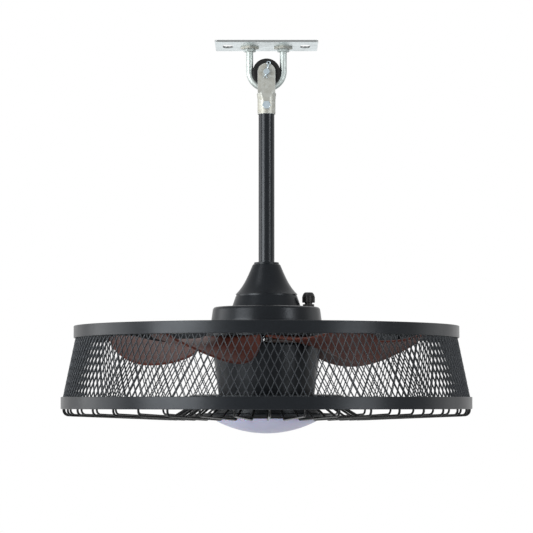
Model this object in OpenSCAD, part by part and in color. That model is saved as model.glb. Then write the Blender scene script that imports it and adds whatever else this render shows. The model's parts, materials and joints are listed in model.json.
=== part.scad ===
/* [Ceiling plate] */
// Length of the plate along the hook
plate_w = 140; // [120:1:200]
// Depth of the plate, front to back
plate_d = 84; // [60:1:100]
// Thickness of the plate
plate_t = 3; // [2:0.5:5]
// Distance between the two fixing slots
slot_pitch = 106; // [90:1:112]
// Width of a fixing slot
slot_w = 13; // [8:0.5:14]
// Length of a fixing slot, across the plate
slot_len = 30; // [16:1:40]

/* [Hook] */
// Diameter of the U-bolt's rod
hook_d = 9.5; // [8:0.5:10]
// Distance between the U-bolt's legs
leg_pitch = 46; // [45:0.5:52]
// Height from the ceiling to the underside of the bend
hook_drop = 65; // [60:0.2:90]
// Side of the square washers
washer_side = 18; // [16:0.5:22]
// Thickness of the square washers
washer_t = 3.5; // [2:0.5:5]
// Width across the flats of the leg nuts
leg_nut_flats = 14.5; // [13:0.5:17]
// Height of the leg nuts
leg_nut_h = 4; // [3:0.5:8]

/* [Roller and shackle] */
// Radius of the rubber roller
roller_r = 19; // [18:0.25:20]
// Radius at the bottom of the roller's groove
groove_r = 16; // [15:0.25:16.5]
// Radius of the groove's round section
groove_round = 6.2; // [5.6:0.1:6.6]
// Width of the roller
roller_w = 15; // [14:0.5:18]
// Diameter of the roller's steel bush
bush_d = 14; // [12:0.5:18]
// Running gap between roller bush and ears
side_play = 0.3; // [0.3:0.1:1]
// Width of the shackle's ears
ear_w = 24.2; // [22:0.2:28]
// Thickness of the shackle's sheet
ear_t = 2.6; // [2:0.2:3.4]
// Diameter of the clevis pin
pin_d = 8; // [6:0.5:9]
// Length of the shackle's sleeve
sleeve_len = 25; // [24:0.5:40]
// Wall of the shackle's sleeve
sleeve_wall = 1.3; // [1:0.1:2]

/* [Downrod] */
// Outside diameter of the downrod
downrod_d = 21.7; // [19:0.1:22]
// Wall of the downrod
downrod_wall = 2; // [1.5:0.1:3]
// Length of the downrod
downrod_len = 269; // [200:1:900]
// Diameter of the bolts through the downrod
cross_bolt_d = 6; // [5:0.5:7]

/* [Canopy and motor housing] */
// Radius of the collar on top of the canopy
collar_r = 17; // [15:0.5:18]
// Height of the collar
collar_h = 2.7; // [2:0.1:5]
// Height of the flared canopy
canopy_h = 41; // [38:0.5:70]
// Radius at the top of the canopy
canopy_top_r = 18.5; // [18:0.5:24]
// Radius at the bottom of the canopy
canopy_base_r = 42.2; // [40:0.2:43]
// Height of the seam under the canopy
seam_h = 2.3; // [1:0.1:4]
// Radius at the top of the neck
neck_top_r = 41.8; // [41.8:0.2:44]
// Radius at the bottom of the neck
neck_base_r = 47; // [45:0.5:48]
// Height of the neck
neck_h = 15; // [12:0.5:24]
// Gap between the neck and the cable gland's flange
gland_gap = 2.35; // [1.5:0.05:4]
// Distance from the gland's axis to the side of the motor housing
gland_inset = 17.8; // [17:0.2:20]
// Height of the motor housing
housing_h = 29; // [29:0.5:36]
// Radius of the housing's top edge
housing_round = 4; // [2:0.5:6]
// Wall of the spun and pressed covers
shell_t = 1.5; // [1:0.1:2]
// Height of the housing's tapered shoulder
shoulder_drop = 17.5; // [10:0.5:20]

/* [Motor] */
// Diameter of the fixed hollow shaft
shaft_d = 15; // [12:0.5:16]
// Bore of the shaft for the lamp wires
shaft_bore = 9; // [6:0.5:10]
// Gap between the rotor bell and the housing's wall
bell_gap = 7; // [6.5:0.5:9]
// Height of the rotor bell
bell_h = 31.5; // [31:0.5:34]
// Thickness of the stator core
core_h = 14; // [10:0.5:15]
// Number of stator slots and rotor magnets
pole_count = 12; // [8:2:16]
// Radius of the blade hub
hub_r = 82; // [80:0.5:86]
// Thickness of the blade hub
hub_t = 4; // [3:0.5:5]

/* [Blades] */
// Number of blades
blade_count = 5; // [3:1:5]
// Radius at the blade tips
blade_r = 227; // [200:0.5:240]
// Widest chord of a blade
blade_chord = 113.5; // [80:0.5:118]
// Thickness of a blade
blade_t = 3; // [2:0.5:4]
// How far the trailing edge hangs below the hub
blade_drop = 37; // [20:1:40]
// Height of the blade's curve above its chord
blade_camber = 3; // [0:0.5:6]
// Angle of the first blade
blade_phase = 20; // [-36:1:36]

/* [Cage] */
// Outside radius of the top band
top_band_r = 261.5; // [255:0.5:290]
// Outside radius of the bottom band
bottom_band_r = 278.5; // [270:0.5:320]
// Height of both bands
band_h = 16.2; // [12:0.2:24]
// Thickness of both bands
band_t = 2; // [1:0.5:3]
// Height of the mesh between the bands
mesh_h = 79.5; // [70:0.5:84]
// Diamonds around the mesh
mesh_count = 84; // [60:2:96]
// Half rows of diamonds up the mesh
mesh_rows = 4; // [3:1:6]
// Width of a mesh strand
strand_w = 2; // [1.2:0.1:3]
// Thickness of the mesh
mesh_t = 1.4; // [1:0.1:2.5]
// Number of arms from the motor housing to the top band
arm_count = 4; // [3:1:6]
// Width of an arm
arm_w = 20; // [12:1:30]
// Thickness of the arms' sheet
arm_t = 3; // [2:0.5:3.5]
// Depth of the top band below the arms' underside
arm_seat = 10.5; // [9:0.5:12]

/* [Wire guard] */
// Diameter of the guard wires
wire_d = 3; // [2:0.2:4]
// Number of guard wires
wire_count = 39; // [24:1:48]
// Bend radius of the guard wires
wire_bend = 7; // [5:0.5:12]
// Slope of the wires' long run, in degrees
wire_slope = 2.3; // [0:0.1:5]
// Rise of the wires' inner ends, in degrees
wire_rise = 31; // [25:1:60]
// Radius at which the wires turn up
foot_r = 132; // [125:1:150]
// Depth of that turn below the bottom band
foot_drop = 13.9; // [12:0.1:20]
// Radius of the plate that the wires are welded to
guard_plate_r = 105; // [100:1:110]
// Thickness of that plate
guard_plate_t = 2; // [1.5:0.5:3]

/* [Lamp] */
// Radius at the top of the lamp housing
lamp_top_r = 74.3; // [70:0.1:75]
// Radius at the bottom of the lamp housing
lamp_waist_r = 65.1; // [65:0.1:68]
// Height of the lamp housing
lamp_h = 69; // [62:0.5:71]
// Gap between blade hub and lamp housing
hub_gap = 9.5; // [8:0.5:12]
// Radius of the lamp base
base_r = 72; // [70:0.5:76]
// Height of the lamp base
base_h = 23.4; // [18:0.2:30]
// Radius of the lamp's trim ring
trim_r = 89; // [82:0.5:92]
// Thickness of the trim ring
trim_t = 4; // [3:0.5:6]
// Radius of the diffuser's rim
diffuser_r = 70; // [68:0.5:75]
// Straight height of the diffuser's rim
diffuser_rim = 5.6; // [2:0.2:8]
// Height of the diffuser's dome
dome_h = 17.8; // [10:0.2:30]
// Number of light chips on the outer ring
chip_count = 18; // [8:1:24]

/* [Hidden] */

$fn = 96;
// gap left between pieces that are pushed together
fit_gap = 0.1;
// radial running clearance of a pin in its bush
run_gap = 0.05;

// heights in the hook, measured down from the ceiling
hook_arc_z = -(hook_drop - hook_d / 2 - leg_pitch / 2);
hook_low_z = -(hook_drop - hook_d);
roller_seat = 0.3;
roller_z = hook_low_z + roller_seat + groove_r;
washer_z = -plate_t - washer_t;
leg_nut_z = washer_z - leg_nut_h;

// shackle
ear_in = roller_w / 2 + 0.4 + side_play;
ear_out = ear_in + ear_t;
sleeve_r = downrod_d / 2 + fit_gap + sleeve_wall;
crotch_r = hook_drop + roller_z + 2.8;
crotch_z = roller_z - crotch_r;
shoulder_r = ear_w / 2 + 1;
rod_top_z = crotch_z - 4.8;
sleeve_low_z = rod_top_z - sleeve_len + 1.5;
upper_bolt_z = sleeve_low_z + 11;
flat_low_z = upper_bolt_z + 2;
split_pin_y = ear_out + 2.2;
split_pin_d = 2.2;
split_pin_turn = 13;
pin_head_r = pin_d / 2 + 2.5;

// downrod, coupling and covers
rod_low_z = rod_top_z - downrod_len;
coupling_floor = 18.5;
head_z = rod_low_z - coupling_floor;
gland_flange_r = 7.85;
gland_x = neck_base_r + gland_gap + gland_flange_r;
housing_r = gland_x + gland_inset;
coupling_r = 16;
coupling_h = 33;
flange_r = 32;
flange_t = 3;
coupling_screw_r = 25;
lower_bolt_z = rod_low_z + 9;
neck_top_z = head_z + neck_h;
canopy_low_z = neck_top_z + seam_h;
canopy_top_z = canopy_low_z + canopy_h;
collar_top_z = canopy_top_z + collar_h;
housing_t = 2;
bell_r = housing_r - housing_t - bell_gap;
housing_low_z = head_z - housing_h;
flange_in = bell_r + 3;
spider_screw_r = (flange_in + housing_r - housing_t) / 2;
bolt_flats = 1.7 * cross_bolt_d;
bolt_head = 0.7 * cross_bolt_d;

// cable gland
gland_flange_h = 4;
gland_stem_r = 5.15;
gland_thread_r = 6;
gland_gap_h = 2.1;
gland_nut_r = 8.65;
gland_nut_h = 14;
gland_hole_r = 3.5;
gland_bore_r = 4.6;
gland_nut_z = head_z + gland_flange_h + gland_gap_h;

// motor
bell_top_z = head_z - housing_t - 2.5;
bell_low_z = bell_top_z - bell_h;
bell_wall = 2.5;
bearing_w = 5;
race_in = shaft_d / 2 + 1.3;
ball_d = 2;
race_out = race_in + ball_d + run_gap;
bearing_r = race_out + 1.1;
ball_count = 12;
upper_bearing_z = bell_top_z - bearing_w - 0.5;
lower_bearing_z = bell_low_z - hub_t - 0.5;
core_top_z = bell_top_z - 8;
magnet_out = bell_r - bell_wall - fit_gap;
magnet_in = magnet_out - 6.5;
core_r = magnet_in - 0.8;
hub_low_z = bell_low_z - hub_t;
tab_low_z = hub_low_z - blade_t;
screw_head = 2.2;
lamp_top_z = hub_low_z - hub_gap;
shaft_top_z = rod_low_z - 2;
shaft_reach = 12;
shaft_low_z = lamp_top_z - shaft_reach;

// blades: points of both edges, each as distance out, distance across and depth below the hub
lead_edge = [[44, -36, 0], [66, -52, 0], [84, -50.5, 2.5], [100, -50, 4], [116, -51.5, 4.5],
    [133, -55, 5], [150, -58, 5], [168, -58, 4], [185, -55, 1.5], [199, -50, -2],
    [210, -43, -4], [219, -33, -4.5], [224.5, -20, -4], [227, -1, -1.5]];
trail_edge = [[52, 26, 0], [76, 41, 0], [81.5, 45, 12], [91.5, 47, 24], [107, 51, 31],
    [122, 54, 35], [138, 56, 37], [153, 55.5, 37], [167, 52.5, 35], [181, 46.5, 31],
    [194, 37.5, 25.5], [206, 27, 18.5], [217, 14, 11], [225.5, 2, 3]];
blade_columns = 6;
plan_chord = 113.5;
plan_drop = 37;
root_r = 80;
flat_stations = 2;
blade_screw_r = [56, 67];

// cage
spider_z = housing_low_z - arm_t;
arm_tab_h = 6;
top_band_z = spider_z - arm_seat;
bottom_band_z = top_band_z - mesh_h - band_h;
top_in = top_band_r - band_t;
bottom_in = bottom_band_r - band_t;
mesh_lap = 2;
mesh_top_z = top_band_z + mesh_lap;
mesh_low_z = bottom_band_z + band_h - mesh_lap;
mesh_top_r = top_in - 0.5;
mesh_low_r = bottom_in - 0.1;

// wire guard, as radius and height
wire_r = bottom_in - wire_d / 2;
foot_z = bottom_band_z - foot_drop;
corner_z = foot_z + (wire_r - foot_r) * tan(wire_slope);
wire_top_z = bottom_band_z + band_h - mesh_lap - 2;
// share of a step by which the first wire is turned from the hook's line
wire_phase = 0.34;

// lamp
lamp_low_z = lamp_top_z - lamp_h;
plate_low_z = lamp_low_z - guard_plate_t;
base_low_z = plate_low_z - base_h;
trim_low_z = base_low_z - trim_t;
rim_low_z = trim_low_z - diffuser_rim;
lamp_round = 3;
inner_lip_r = 55;
lamp_screw_d = 4;
lamp_head_d = 7.5;
lamp_head_h = 2.4;
base_t = 2;
// the screws and the trim's opening keep inside the narrower of the walls beside them
screw_inset = 5.1;
head_gap = 1;
trim_lap = 3.6;
lamp_screw_r = min(lamp_waist_r - screw_inset, base_r - base_t - lamp_head_d / 2 - head_gap);
trim_in = min(diffuser_r, base_r - base_t) - trim_lap;
diffuser_t = 2;
board_r = 54;
board_t = 1.6;
board_low_z = plate_low_z - base_t - board_t;
weld = 0.2;
wire_end_z = plate_low_z - wire_d / 2 * cos(wire_rise) + weld;

steel = "silver";
graphite = [0.16, 0.17, 0.18];

function mixed(a, b, t) = a + (b - a) * t;

// a straight round bar between two points in the local X-Y plane
module bar(p, q, d) {
    run = norm(q - p);
    translate([p.x, p.y, 0])
        rotate([0, 0, atan2(q.y - p.y, q.x - p.x)])
            rotate([0, 90, 0])
                cylinder(h = run, d = d, $fn = 32);
}

// a round bar bent about a centre in the local X-Y plane
module bend(centre, radius, from, to, d) {
    translate([centre.x, centre.y, 0])
        rotate([0, 0, from])
            rotate_extrude(angle = to - from)
                translate([radius, 0])
                    circle(d = d, $fn = 32);
}

// a ring with a rectangular section
module ring(inner, outer, low, height) {
    translate([0, 0, low])
        difference() {
            cylinder(h = height, r = outer);
            translate([0, 0, -1])
                cylinder(h = height + 2, r = inner);
        }
}

// copies round the fan axis at a radius
module around(count, radius, start = 0) {
    for (i = [0 : count - 1])
        rotate([0, 0, start + i * 360 / count])
            translate([radius, 0, 0])
                children();
}

// a hexagon prism given across its flats
module hexagon(flats, height) {
    cylinder(h = height, d = flats / cos(30), $fn = 6);
}

// a bar along Y, from one depth to another, at a height
module across(z, from, to, d) {
    translate([0, from, z])
        rotate([-90, 0, 0])
            cylinder(h = to - from, d = d, $fn = 48);
}

module ceiling_plate() {
    corner = 3;
    color(steel)
        difference() {
            translate([0, 0, -plate_t])
                linear_extrude(plate_t)
                    union() {
                        square([plate_w - 2 * corner, plate_d], center = true);
                        square([plate_w, plate_d - 2 * corner], center = true);
                        for (x = [-1, 1], y = [-1, 1])
                            translate([x * (plate_w / 2 - corner), y * (plate_d / 2 - corner)])
                                circle(r = corner, $fn = 32);
                    }
            for (x = [-1, 1]) {
                translate([x * leg_pitch / 2, 0, -plate_t - 1])
                    cylinder(h = plate_t + 2, d = hook_d + 2 * fit_gap);
                translate([x * slot_pitch / 2, 0, -plate_t - 1])
                    linear_extrude(plate_t + 2)
                        union() {
                            square([slot_w, slot_len - slot_w], center = true);
                            for (y = [-1, 1])
                                translate([0, y * (slot_len - slot_w) / 2])
                                    circle(d = slot_w, $fn = 48);
                        }
            }
        }
}

module u_bolt() {
    leg = leg_pitch / 2;
    color(steel)
        rotate([90, 0, 0])
            union() {
                for (x = [-leg, leg])
                    bar([x, hook_arc_z], [x, -fit_gap], hook_d);
                bend([0, hook_arc_z], leg, 180, 360, hook_d);
            }
}

module square_washers() {
    color(steel)
        for (x = [-1, 1])
            translate([x * leg_pitch / 2, 0, washer_z])
                difference() {
                    rotate([0, 0, 45])
                        translate([-washer_side / 2, -washer_side / 2, 0])
                            cube([washer_side, washer_side, washer_t]);
                    translate([0, 0, -1])
                        cylinder(h = washer_t + 2, d = hook_d + 2 * fit_gap);
                }
}

module leg_nuts() {
    color(steel)
        for (x = [-1, 1])
            translate([x * leg_pitch / 2, 0, leg_nut_z])
                difference() {
                    hexagon(leg_nut_flats, leg_nut_h);
                    translate([0, 0, -1])
                        cylinder(h = leg_nut_h + 2, d = hook_d + 2 * fit_gap);
                }
}

module hanger_roller() {
    color([0.06, 0.06, 0.06])
        translate([0, 0, roller_z])
            rotate([90, 0, 0])
                rotate_extrude()
                    difference() {
                        translate([bush_d / 2, -roller_w / 2])
                            square([roller_r - bush_d / 2, roller_w]);
                        translate([groove_r + groove_round, 0])
                            circle(r = groove_round);
                    }
}

module roller_bush() {
    length = 2 * (ear_in - side_play);
    color("goldenrod")
        translate([0, length / 2, roller_z])
            rotate([90, 0, 0])
                difference() {
                    cylinder(h = length, d = bush_d);
                    translate([0, 0, -1])
                        cylinder(h = length + 2, d = pin_d + 2 * run_gap);
                }
}

module shackle() {
    ear_h = roller_z - crotch_z;
    flat_top_z = crotch_z + 2;
    color(steel)
        difference() {
            union() {
                for (side = [-1, 1])
                    translate([0, side * (ear_in + ear_t / 2), roller_z])
                        rotate([90, 0, 0])
                            translate([0, 0, -ear_t / 2])
                                union() {
                                    cylinder(h = ear_t, d = ear_w);
                                    translate([-ear_w / 2, -ear_h, 0])
                                        cube([ear_w, ear_h, ear_t]);
                                }
                intersection() {
                    rotate_extrude()
                        polygon([[0, flat_low_z - 1], [sleeve_r, flat_low_z - 1],
                            [sleeve_r, rod_top_z - 3], [shoulder_r, crotch_z - 1],
                            [shoulder_r + 0.4, crotch_z + 5], [0, crotch_z + 5]]);
                    translate([-shoulder_r - 1, 0, 0])
                        rotate([90, 0, 90])
                            linear_extrude(2 * shoulder_r + 2)
                                polygon([[-sleeve_r, flat_low_z - 1], [sleeve_r, flat_low_z - 1],
                                    [sleeve_r, flat_low_z], [ear_out, flat_top_z],
                                    [ear_out, crotch_z + 5], [-ear_out, crotch_z + 5],
                                    [-ear_out, flat_top_z], [-sleeve_r, flat_low_z]]);
                }
                translate([0, 0, sleeve_low_z])
                    cylinder(h = flat_low_z - sleeve_low_z, r = sleeve_r);
            }
            translate([-ear_w, -ear_in, crotch_z])
                cube([2 * ear_w, 2 * ear_in, ear_h + ear_w]);
            translate([0, 0, sleeve_low_z - 1])
                cylinder(h = rod_top_z - sleeve_low_z + 1 + fit_gap, d = downrod_d + 2 * fit_gap);
            across(roller_z, -ear_out - 1, ear_out + 1, pin_d + 2 * fit_gap);
            across(upper_bolt_z, -sleeve_r - 1, sleeve_r + 1, cross_bolt_d + 2 * fit_gap);
        }
}

module clevis_pin() {
    tip = split_pin_y + 2.6;
    color(steel)
        difference() {
            union() {
                across(roller_z, -tip, ear_out + fit_gap, pin_d);
                across(roller_z, ear_out + fit_gap, ear_out + fit_gap + 3, 2 * pin_head_r);
            }
            translate([0, -split_pin_y, roller_z])
                rotate([0, split_pin_turn, 0])
                    translate([0, 0, -pin_d])
                        cylinder(h = 2 * pin_d, d = split_pin_d + 2 * fit_gap, $fn = 32);
        }
}

module clevis_split_pin() {
    eye_r = 2.2;
    top = pin_d / 2 + 6;
    low = pin_d / 2 + 0.8;
    wire = split_pin_d / 2;
    color(steel)
        translate([0, -split_pin_y, roller_z])
            rotate([90, split_pin_turn, 0])
                union() {
                    bar([0, -low], [0, top], split_pin_d);
                    bend([0, top + eye_r], eye_r, 0, 360, wire);
                    bar([0, -low], [3, -low - 3.6], wire);
                    bar([0, -low], [-2.4, -low - 4], wire);
                }
}

// a hexagon bolt through the downrod, with its head at the front
module cross_bolt(z, radius) {
    seat = radius + fit_gap;
    union() {
        across(z, -seat, seat + 1.1 * cross_bolt_d, cross_bolt_d);
        translate([0, -seat, z])
            rotate([90, 0, 0])
                hexagon(bolt_flats, bolt_head);
    }
}

// the nut of that bolt, at the back
module cross_nut(z, radius) {
    height = 0.9 * cross_bolt_d;
    translate([0, radius + fit_gap, z])
        rotate([-90, 0, 0])
            difference() {
                hexagon(bolt_flats, height);
                translate([0, 0, -1])
                    cylinder(h = height + 2, d = cross_bolt_d + 2 * run_gap, $fn = 48);
            }
}

module upper_rod_bolt() {
    color(steel)
        cross_bolt(upper_bolt_z, sleeve_r);
}

module upper_rod_nut() {
    color(steel)
        cross_nut(upper_bolt_z, sleeve_r);
}

module downrod() {
    color(graphite)
        difference() {
            ring(downrod_d / 2 - downrod_wall, downrod_d / 2, rod_low_z, downrod_len);
            for (z = [upper_bolt_z, lower_bolt_z])
                across(z, -downrod_d, downrod_d, cross_bolt_d + 2 * fit_gap);
        }
}

module rod_collar() {
    edge = 0.8;
    color(graphite)
        rotate_extrude()
            polygon([[downrod_d / 2 + fit_gap, canopy_top_z], [collar_r, canopy_top_z],
                [collar_r, collar_top_z - edge], [collar_r - edge, collar_top_z],
                [downrod_d / 2 + fit_gap, collar_top_z]]);
}

// radius of the canopy's outside at a share of its height, from the top
function flare(t) = let (straight = 0.43 * canopy_h)
    canopy_top_r + straight * t + (canopy_base_r - canopy_top_r - straight) * pow(t, 4);

module canopy_cone() {
    steps = 14;
    top_t = 2;
    outside = [for (i = [0 : steps]) [flare(i / steps), canopy_top_z - canopy_h * i / steps]];
    first = 2;
    inside = [for (i = [steps : -1 : first])
        [flare(i / steps) - shell_t * 1.2, canopy_top_z - canopy_h * i / steps]];
    color(graphite)
        rotate_extrude()
            polygon(concat([[downrod_d / 2 + fit_gap, canopy_top_z]], outside, inside,
                [[flare(first / steps) - shell_t * 1.2, canopy_top_z - top_t],
                    [downrod_d / 2 + fit_gap, canopy_top_z - top_t]]));
}

module neck_cover() {
    seat_r = canopy_base_r - 1;
    hole_r = flange_r + 2;
    color(graphite)
        rotate_extrude()
            polygon([[hole_r, neck_top_z - shell_t], [hole_r, canopy_low_z], [seat_r, canopy_low_z],
                [seat_r, neck_top_z], [neck_top_r, neck_top_z], [neck_base_r, head_z],
                [neck_base_r - shell_t, head_z],
                [neck_top_r - shell_t, neck_top_z - shell_t]]);
}

module rod_coupling() {
    color("dimgray")
        difference() {
            union() {
                translate([0, 0, head_z])
                    cylinder(h = coupling_h, r = coupling_r);
                translate([0, 0, head_z])
                    cylinder(h = flange_t, r = flange_r);
            }
            translate([0, 0, rod_low_z])
                cylinder(h = coupling_h, d = downrod_d + 2 * fit_gap);
            translate([0, 0, head_z - 1])
                cylinder(h = coupling_floor + 2, d = shaft_d + 2 * fit_gap);
            across(lower_bolt_z, -coupling_r - 1, coupling_r + 1, cross_bolt_d + 2 * fit_gap);
            around(4, coupling_screw_r, 45)
                translate([0, 0, head_z - 1])
                    cylinder(h = flange_t + 2, d = 5 + 2 * fit_gap, $fn = 32);
        }
}

module lower_rod_bolt() {
    color(steel)
        cross_bolt(lower_bolt_z, coupling_r);
}

module lower_rod_nut() {
    color(steel)
        cross_nut(lower_bolt_z, coupling_r);
}

module coupling_screws() {
    color(steel)
        around(4, coupling_screw_r, 45)
            union() {
                translate([0, 0, head_z - housing_t])
                    cylinder(h = housing_t + flange_t, d = 5, $fn = 32);
                translate([0, 0, head_z + flange_t])
                    cylinder(h = 3, d = 8.5, $fn = 32);
            }
}

module motor_housing() {
    taper = 2.4;
    inner = housing_r - housing_t;
    arc = [for (a = [90 : -15 : 15])
        [housing_r - taper - housing_round + housing_round * cos(a),
            head_z - housing_round + housing_round * sin(a)]];
    color(graphite)
        difference() {
            rotate_extrude()
                polygon(concat([[shaft_d / 2 + fit_gap, head_z]], arc,
                    [[housing_r - taper, head_z - housing_round], [housing_r, head_z - shoulder_drop],
                        [housing_r, housing_low_z], [flange_in, housing_low_z],
                        [flange_in, housing_low_z + housing_t], [inner, housing_low_z + housing_t],
                        [inner, head_z - shoulder_drop], [inner - taper, head_z - housing_round],
                        [inner - taper - 2, head_z - housing_t],
                        [shaft_d / 2 + fit_gap, head_z - housing_t]]));
            around(4, coupling_screw_r, 45)
                translate([0, 0, head_z - housing_t - 1])
                    cylinder(h = housing_t + 2, d = 5 + 2 * fit_gap, $fn = 32);
            translate([gland_x, 0, head_z - housing_t - 1])
                cylinder(h = housing_t + 2, r = gland_thread_r + fit_gap, $fn = 48);
            around(2 * arm_count, spider_screw_r, 90 / arm_count)
                translate([0, 0, housing_low_z - 1])
                    cylinder(h = housing_t + 2, d = 3 + 2 * fit_gap, $fn = 32);
        }
}

module gland_body() {
    color([0.07, 0.07, 0.07])
        translate([gland_x, 0, 0])
            difference() {
                union() {
                    translate([0, 0, head_z])
                        cylinder(h = gland_flange_h, r = gland_flange_r);
                    translate([0, 0, head_z])
                        cylinder(h = gland_flange_h + gland_gap_h + 8, r = gland_stem_r);
                    translate([0, 0, head_z - housing_t - 2])
                        cylinder(h = housing_t + 3, r = gland_thread_r);
                }
                translate([0, 0, head_z - housing_t - 3])
                    cylinder(h = housing_t + gland_flange_h + gland_gap_h + 12, r = gland_bore_r);
            }
}

module gland_locknut() {
    color([0.07, 0.07, 0.07])
        translate([gland_x, 0, head_z - housing_t - 2])
            difference() {
                hexagon(2 * gland_thread_r + 2.5, 2);
                translate([0, 0, -1])
                    cylinder(h = 4, r = gland_thread_r + run_gap);
            }
}

module gland_seal() {
    color("dimgray")
        translate([gland_x, 0, 0])
            ring(gland_hole_r, gland_bore_r, head_z + gland_flange_h, gland_nut_h - 2);
}

module gland_nut() {
    crown = 2;
    dome_r = gland_nut_r - 3.4;
    color([0.07, 0.07, 0.07])
        translate([gland_x, 0, gland_nut_z])
            difference() {
                union() {
                    cylinder(h = gland_nut_h - 5, r = gland_nut_r - 0.5);
                    around(12, gland_nut_r - 1.2)
                        cylinder(h = gland_nut_h - 5.5, r = 1.2, $fn = 24);
                    translate([0, 0, gland_nut_h - 5])
                        cylinder(h = 5, r1 = gland_nut_r - 0.5, r2 = dome_r);
                }
                translate([0, 0, -1])
                    cylinder(h = gland_nut_h - crown + 1, r = gland_stem_r + fit_gap);
                cylinder(h = gland_nut_h + 1, r = gland_hole_r + 0.8);
            }
}

module motor_shaft() {
    color("lightgray")
        ring(shaft_bore / 2, shaft_d / 2, shaft_low_z, shaft_top_z - shaft_low_z);
}

module shaft_nut() {
    color(steel)
        translate([0, 0, lamp_top_z - base_t - 7])
            difference() {
                hexagon(1.6 * shaft_d, 7);
                translate([0, 0, -1])
                    cylinder(h = 9, d = shaft_d + 2 * run_gap);
            }
}

module stator_core() {
    slot = 5;
    color("slategray")
        difference() {
            ring(shaft_d / 2, core_r, core_top_z - core_h, core_h);
            around(pole_count, core_r - 8)
                translate([-12, -slot / 2, core_top_z - core_h - 1])
                    cube([16, slot, core_h + 2]);
            around(pole_count, core_r - 6)
                translate([0, -0.8, core_top_z - core_h - 1])
                    cube([10, 1.6, core_h + 2]);
        }
}

module stator_windings() {
    color("orangered")
        for (z = [core_top_z, core_top_z - core_h - 2.4])
            ring(core_r - 24, core_r - 3, z, 2.4);
}

module bearing_inner_races() {
    color("gainsboro")
        for (z = [upper_bearing_z, lower_bearing_z])
            ring(shaft_d / 2, race_in, z, bearing_w);
}

module bearing_balls() {
    color("white")
        for (z = [upper_bearing_z, lower_bearing_z])
            around(ball_count, race_in + run_gap + ball_d / 2)
                translate([0, 0, z + bearing_w / 2])
                    sphere(d = ball_d, $fn = 32);
}

module bearing_outer_races() {
    color("gainsboro")
        for (z = [upper_bearing_z, lower_bearing_z])
            ring(race_out, bearing_r, z, bearing_w);
}

module rotor_bell() {
    top_t = 3;
    boss = bearing_r + 3;
    color("darkgray")
        rotate_extrude()
            polygon([[bearing_r, bell_top_z], [bell_r - 2, bell_top_z],
                [bell_r, bell_top_z - 2], [bell_r, bell_low_z], [bell_r - bell_wall, bell_low_z],
                [bell_r - bell_wall, bell_top_z - top_t], [boss, bell_top_z - top_t],
                [boss, upper_bearing_z], [bearing_r, upper_bearing_z]]);
}

module rotor_magnets() {
    low = core_top_z - core_h - 1;
    color("gray")
        difference() {
            ring(magnet_in, magnet_out, low, core_h + 2);
            around(pole_count, magnet_in)
                translate([-2, -1, low - 1])
                    cube([12, 2, core_h + 4]);
        }
}

module blade_hub() {
    spigot = bell_r - bell_wall - fit_gap;
    boss = bearing_r + 4;
    color(graphite)
        difference() {
            union() {
                ring(bearing_r, hub_r, hub_low_z, hub_t);
                ring(bearing_r, boss, lower_bearing_z, bearing_w + 0.5);
                ring(spigot - 3, spigot, bell_low_z, 2.5);
            }
            around(blade_count, 0, blade_phase)
                for (r = blade_screw_r)
                    translate([r, 0, hub_low_z - 1])
                        cylinder(h = hub_t + 2, d = 4 + 2 * fit_gap, $fn = 32);
        }
}

// an edge point fitted to the blade's radius, chord and drop
function fitted(p) = let (span = (blade_r - root_r) / (lead_edge[len(lead_edge) - 1].x - root_r))
    [p.x < root_r ? p.x : root_r + (p.x - root_r) * span,
        p.y * blade_chord / plan_chord, tab_low_z - p.z * blade_drop / plan_drop];

// a point of the blade's underside between its edges, with the share s from 0 to 1
function blade_point(i, s) = let (a = fitted(lead_edge[i]), b = fitted(trail_edge[i]),
        width = (b.y - a.y) / blade_chord,
        bulge = i < flat_stations ? 0 : blade_camber * width * 4 * s * (1 - s))
    a + (b - a) * s + [0, 0, bulge];

// one blade: two skins of stations and columns, joined along the rim
module blade(index) {
    rows = len(lead_edge) - 1;
    cols = blade_columns;
    points = [for (skin = [0, 1], i = [0 : rows], j = [0 : cols])
        blade_point(i, j / cols) + [0, 0, skin * blade_t]];
    lift = (rows + 1) * (cols + 1);
    function at(skin, i, j) = skin * lift + i * (cols + 1) + j;
    skins = [for (i = [0 : rows - 1], j = [0 : cols - 1], k = [0, 1])
        let (a = at(0, i, j), b = at(0, i + 1, j), c = at(0, i + 1, j + 1), d = at(0, i, j + 1))
            k == 0 ? [a, b, c] : [a, c, d]];
    tops = [for (f = skins) [f[2] + lift, f[1] + lift, f[0] + lift]];
    rim = concat([for (i = [0 : rows]) at(0, i, 0)], [for (j = [1 : cols]) at(0, rows, j)],
        [for (i = [rows - 1 : -1 : 0]) at(0, i, cols)], [for (j = [cols - 1 : -1 : 1]) at(0, 0, j)]);
    count = len(rim);
    sides = [for (i = [0 : count - 1], k = [0, 1])
        let (a = rim[i], b = rim[(i + 1) % count])
            k == 0 ? [a, a + lift, b + lift] : [a, b + lift, b]];
    color([0.35, 0.16, 0.11])
        rotate([0, 0, blade_phase + index * 360 / blade_count])
            difference() {
                polyhedron(points = points, faces = concat(skins, tops, sides));
                for (r = blade_screw_r)
                    translate([r, 0, tab_low_z - 1])
                        cylinder(h = blade_t + 2, d = 4 + 2 * fit_gap, $fn = 32);
            }
}

module blade_screws() {
    color(steel)
        around(blade_count, 0, blade_phase)
            for (r = blade_screw_r)
                translate([r, 0, tab_low_z])
                    union() {
                        cylinder(h = blade_t + hub_t, d = 4, $fn = 32);
                        translate([0, 0, -screw_head])
                            cylinder(h = screw_head, d = 7.5, $fn = 32);
                    }
}

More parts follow.
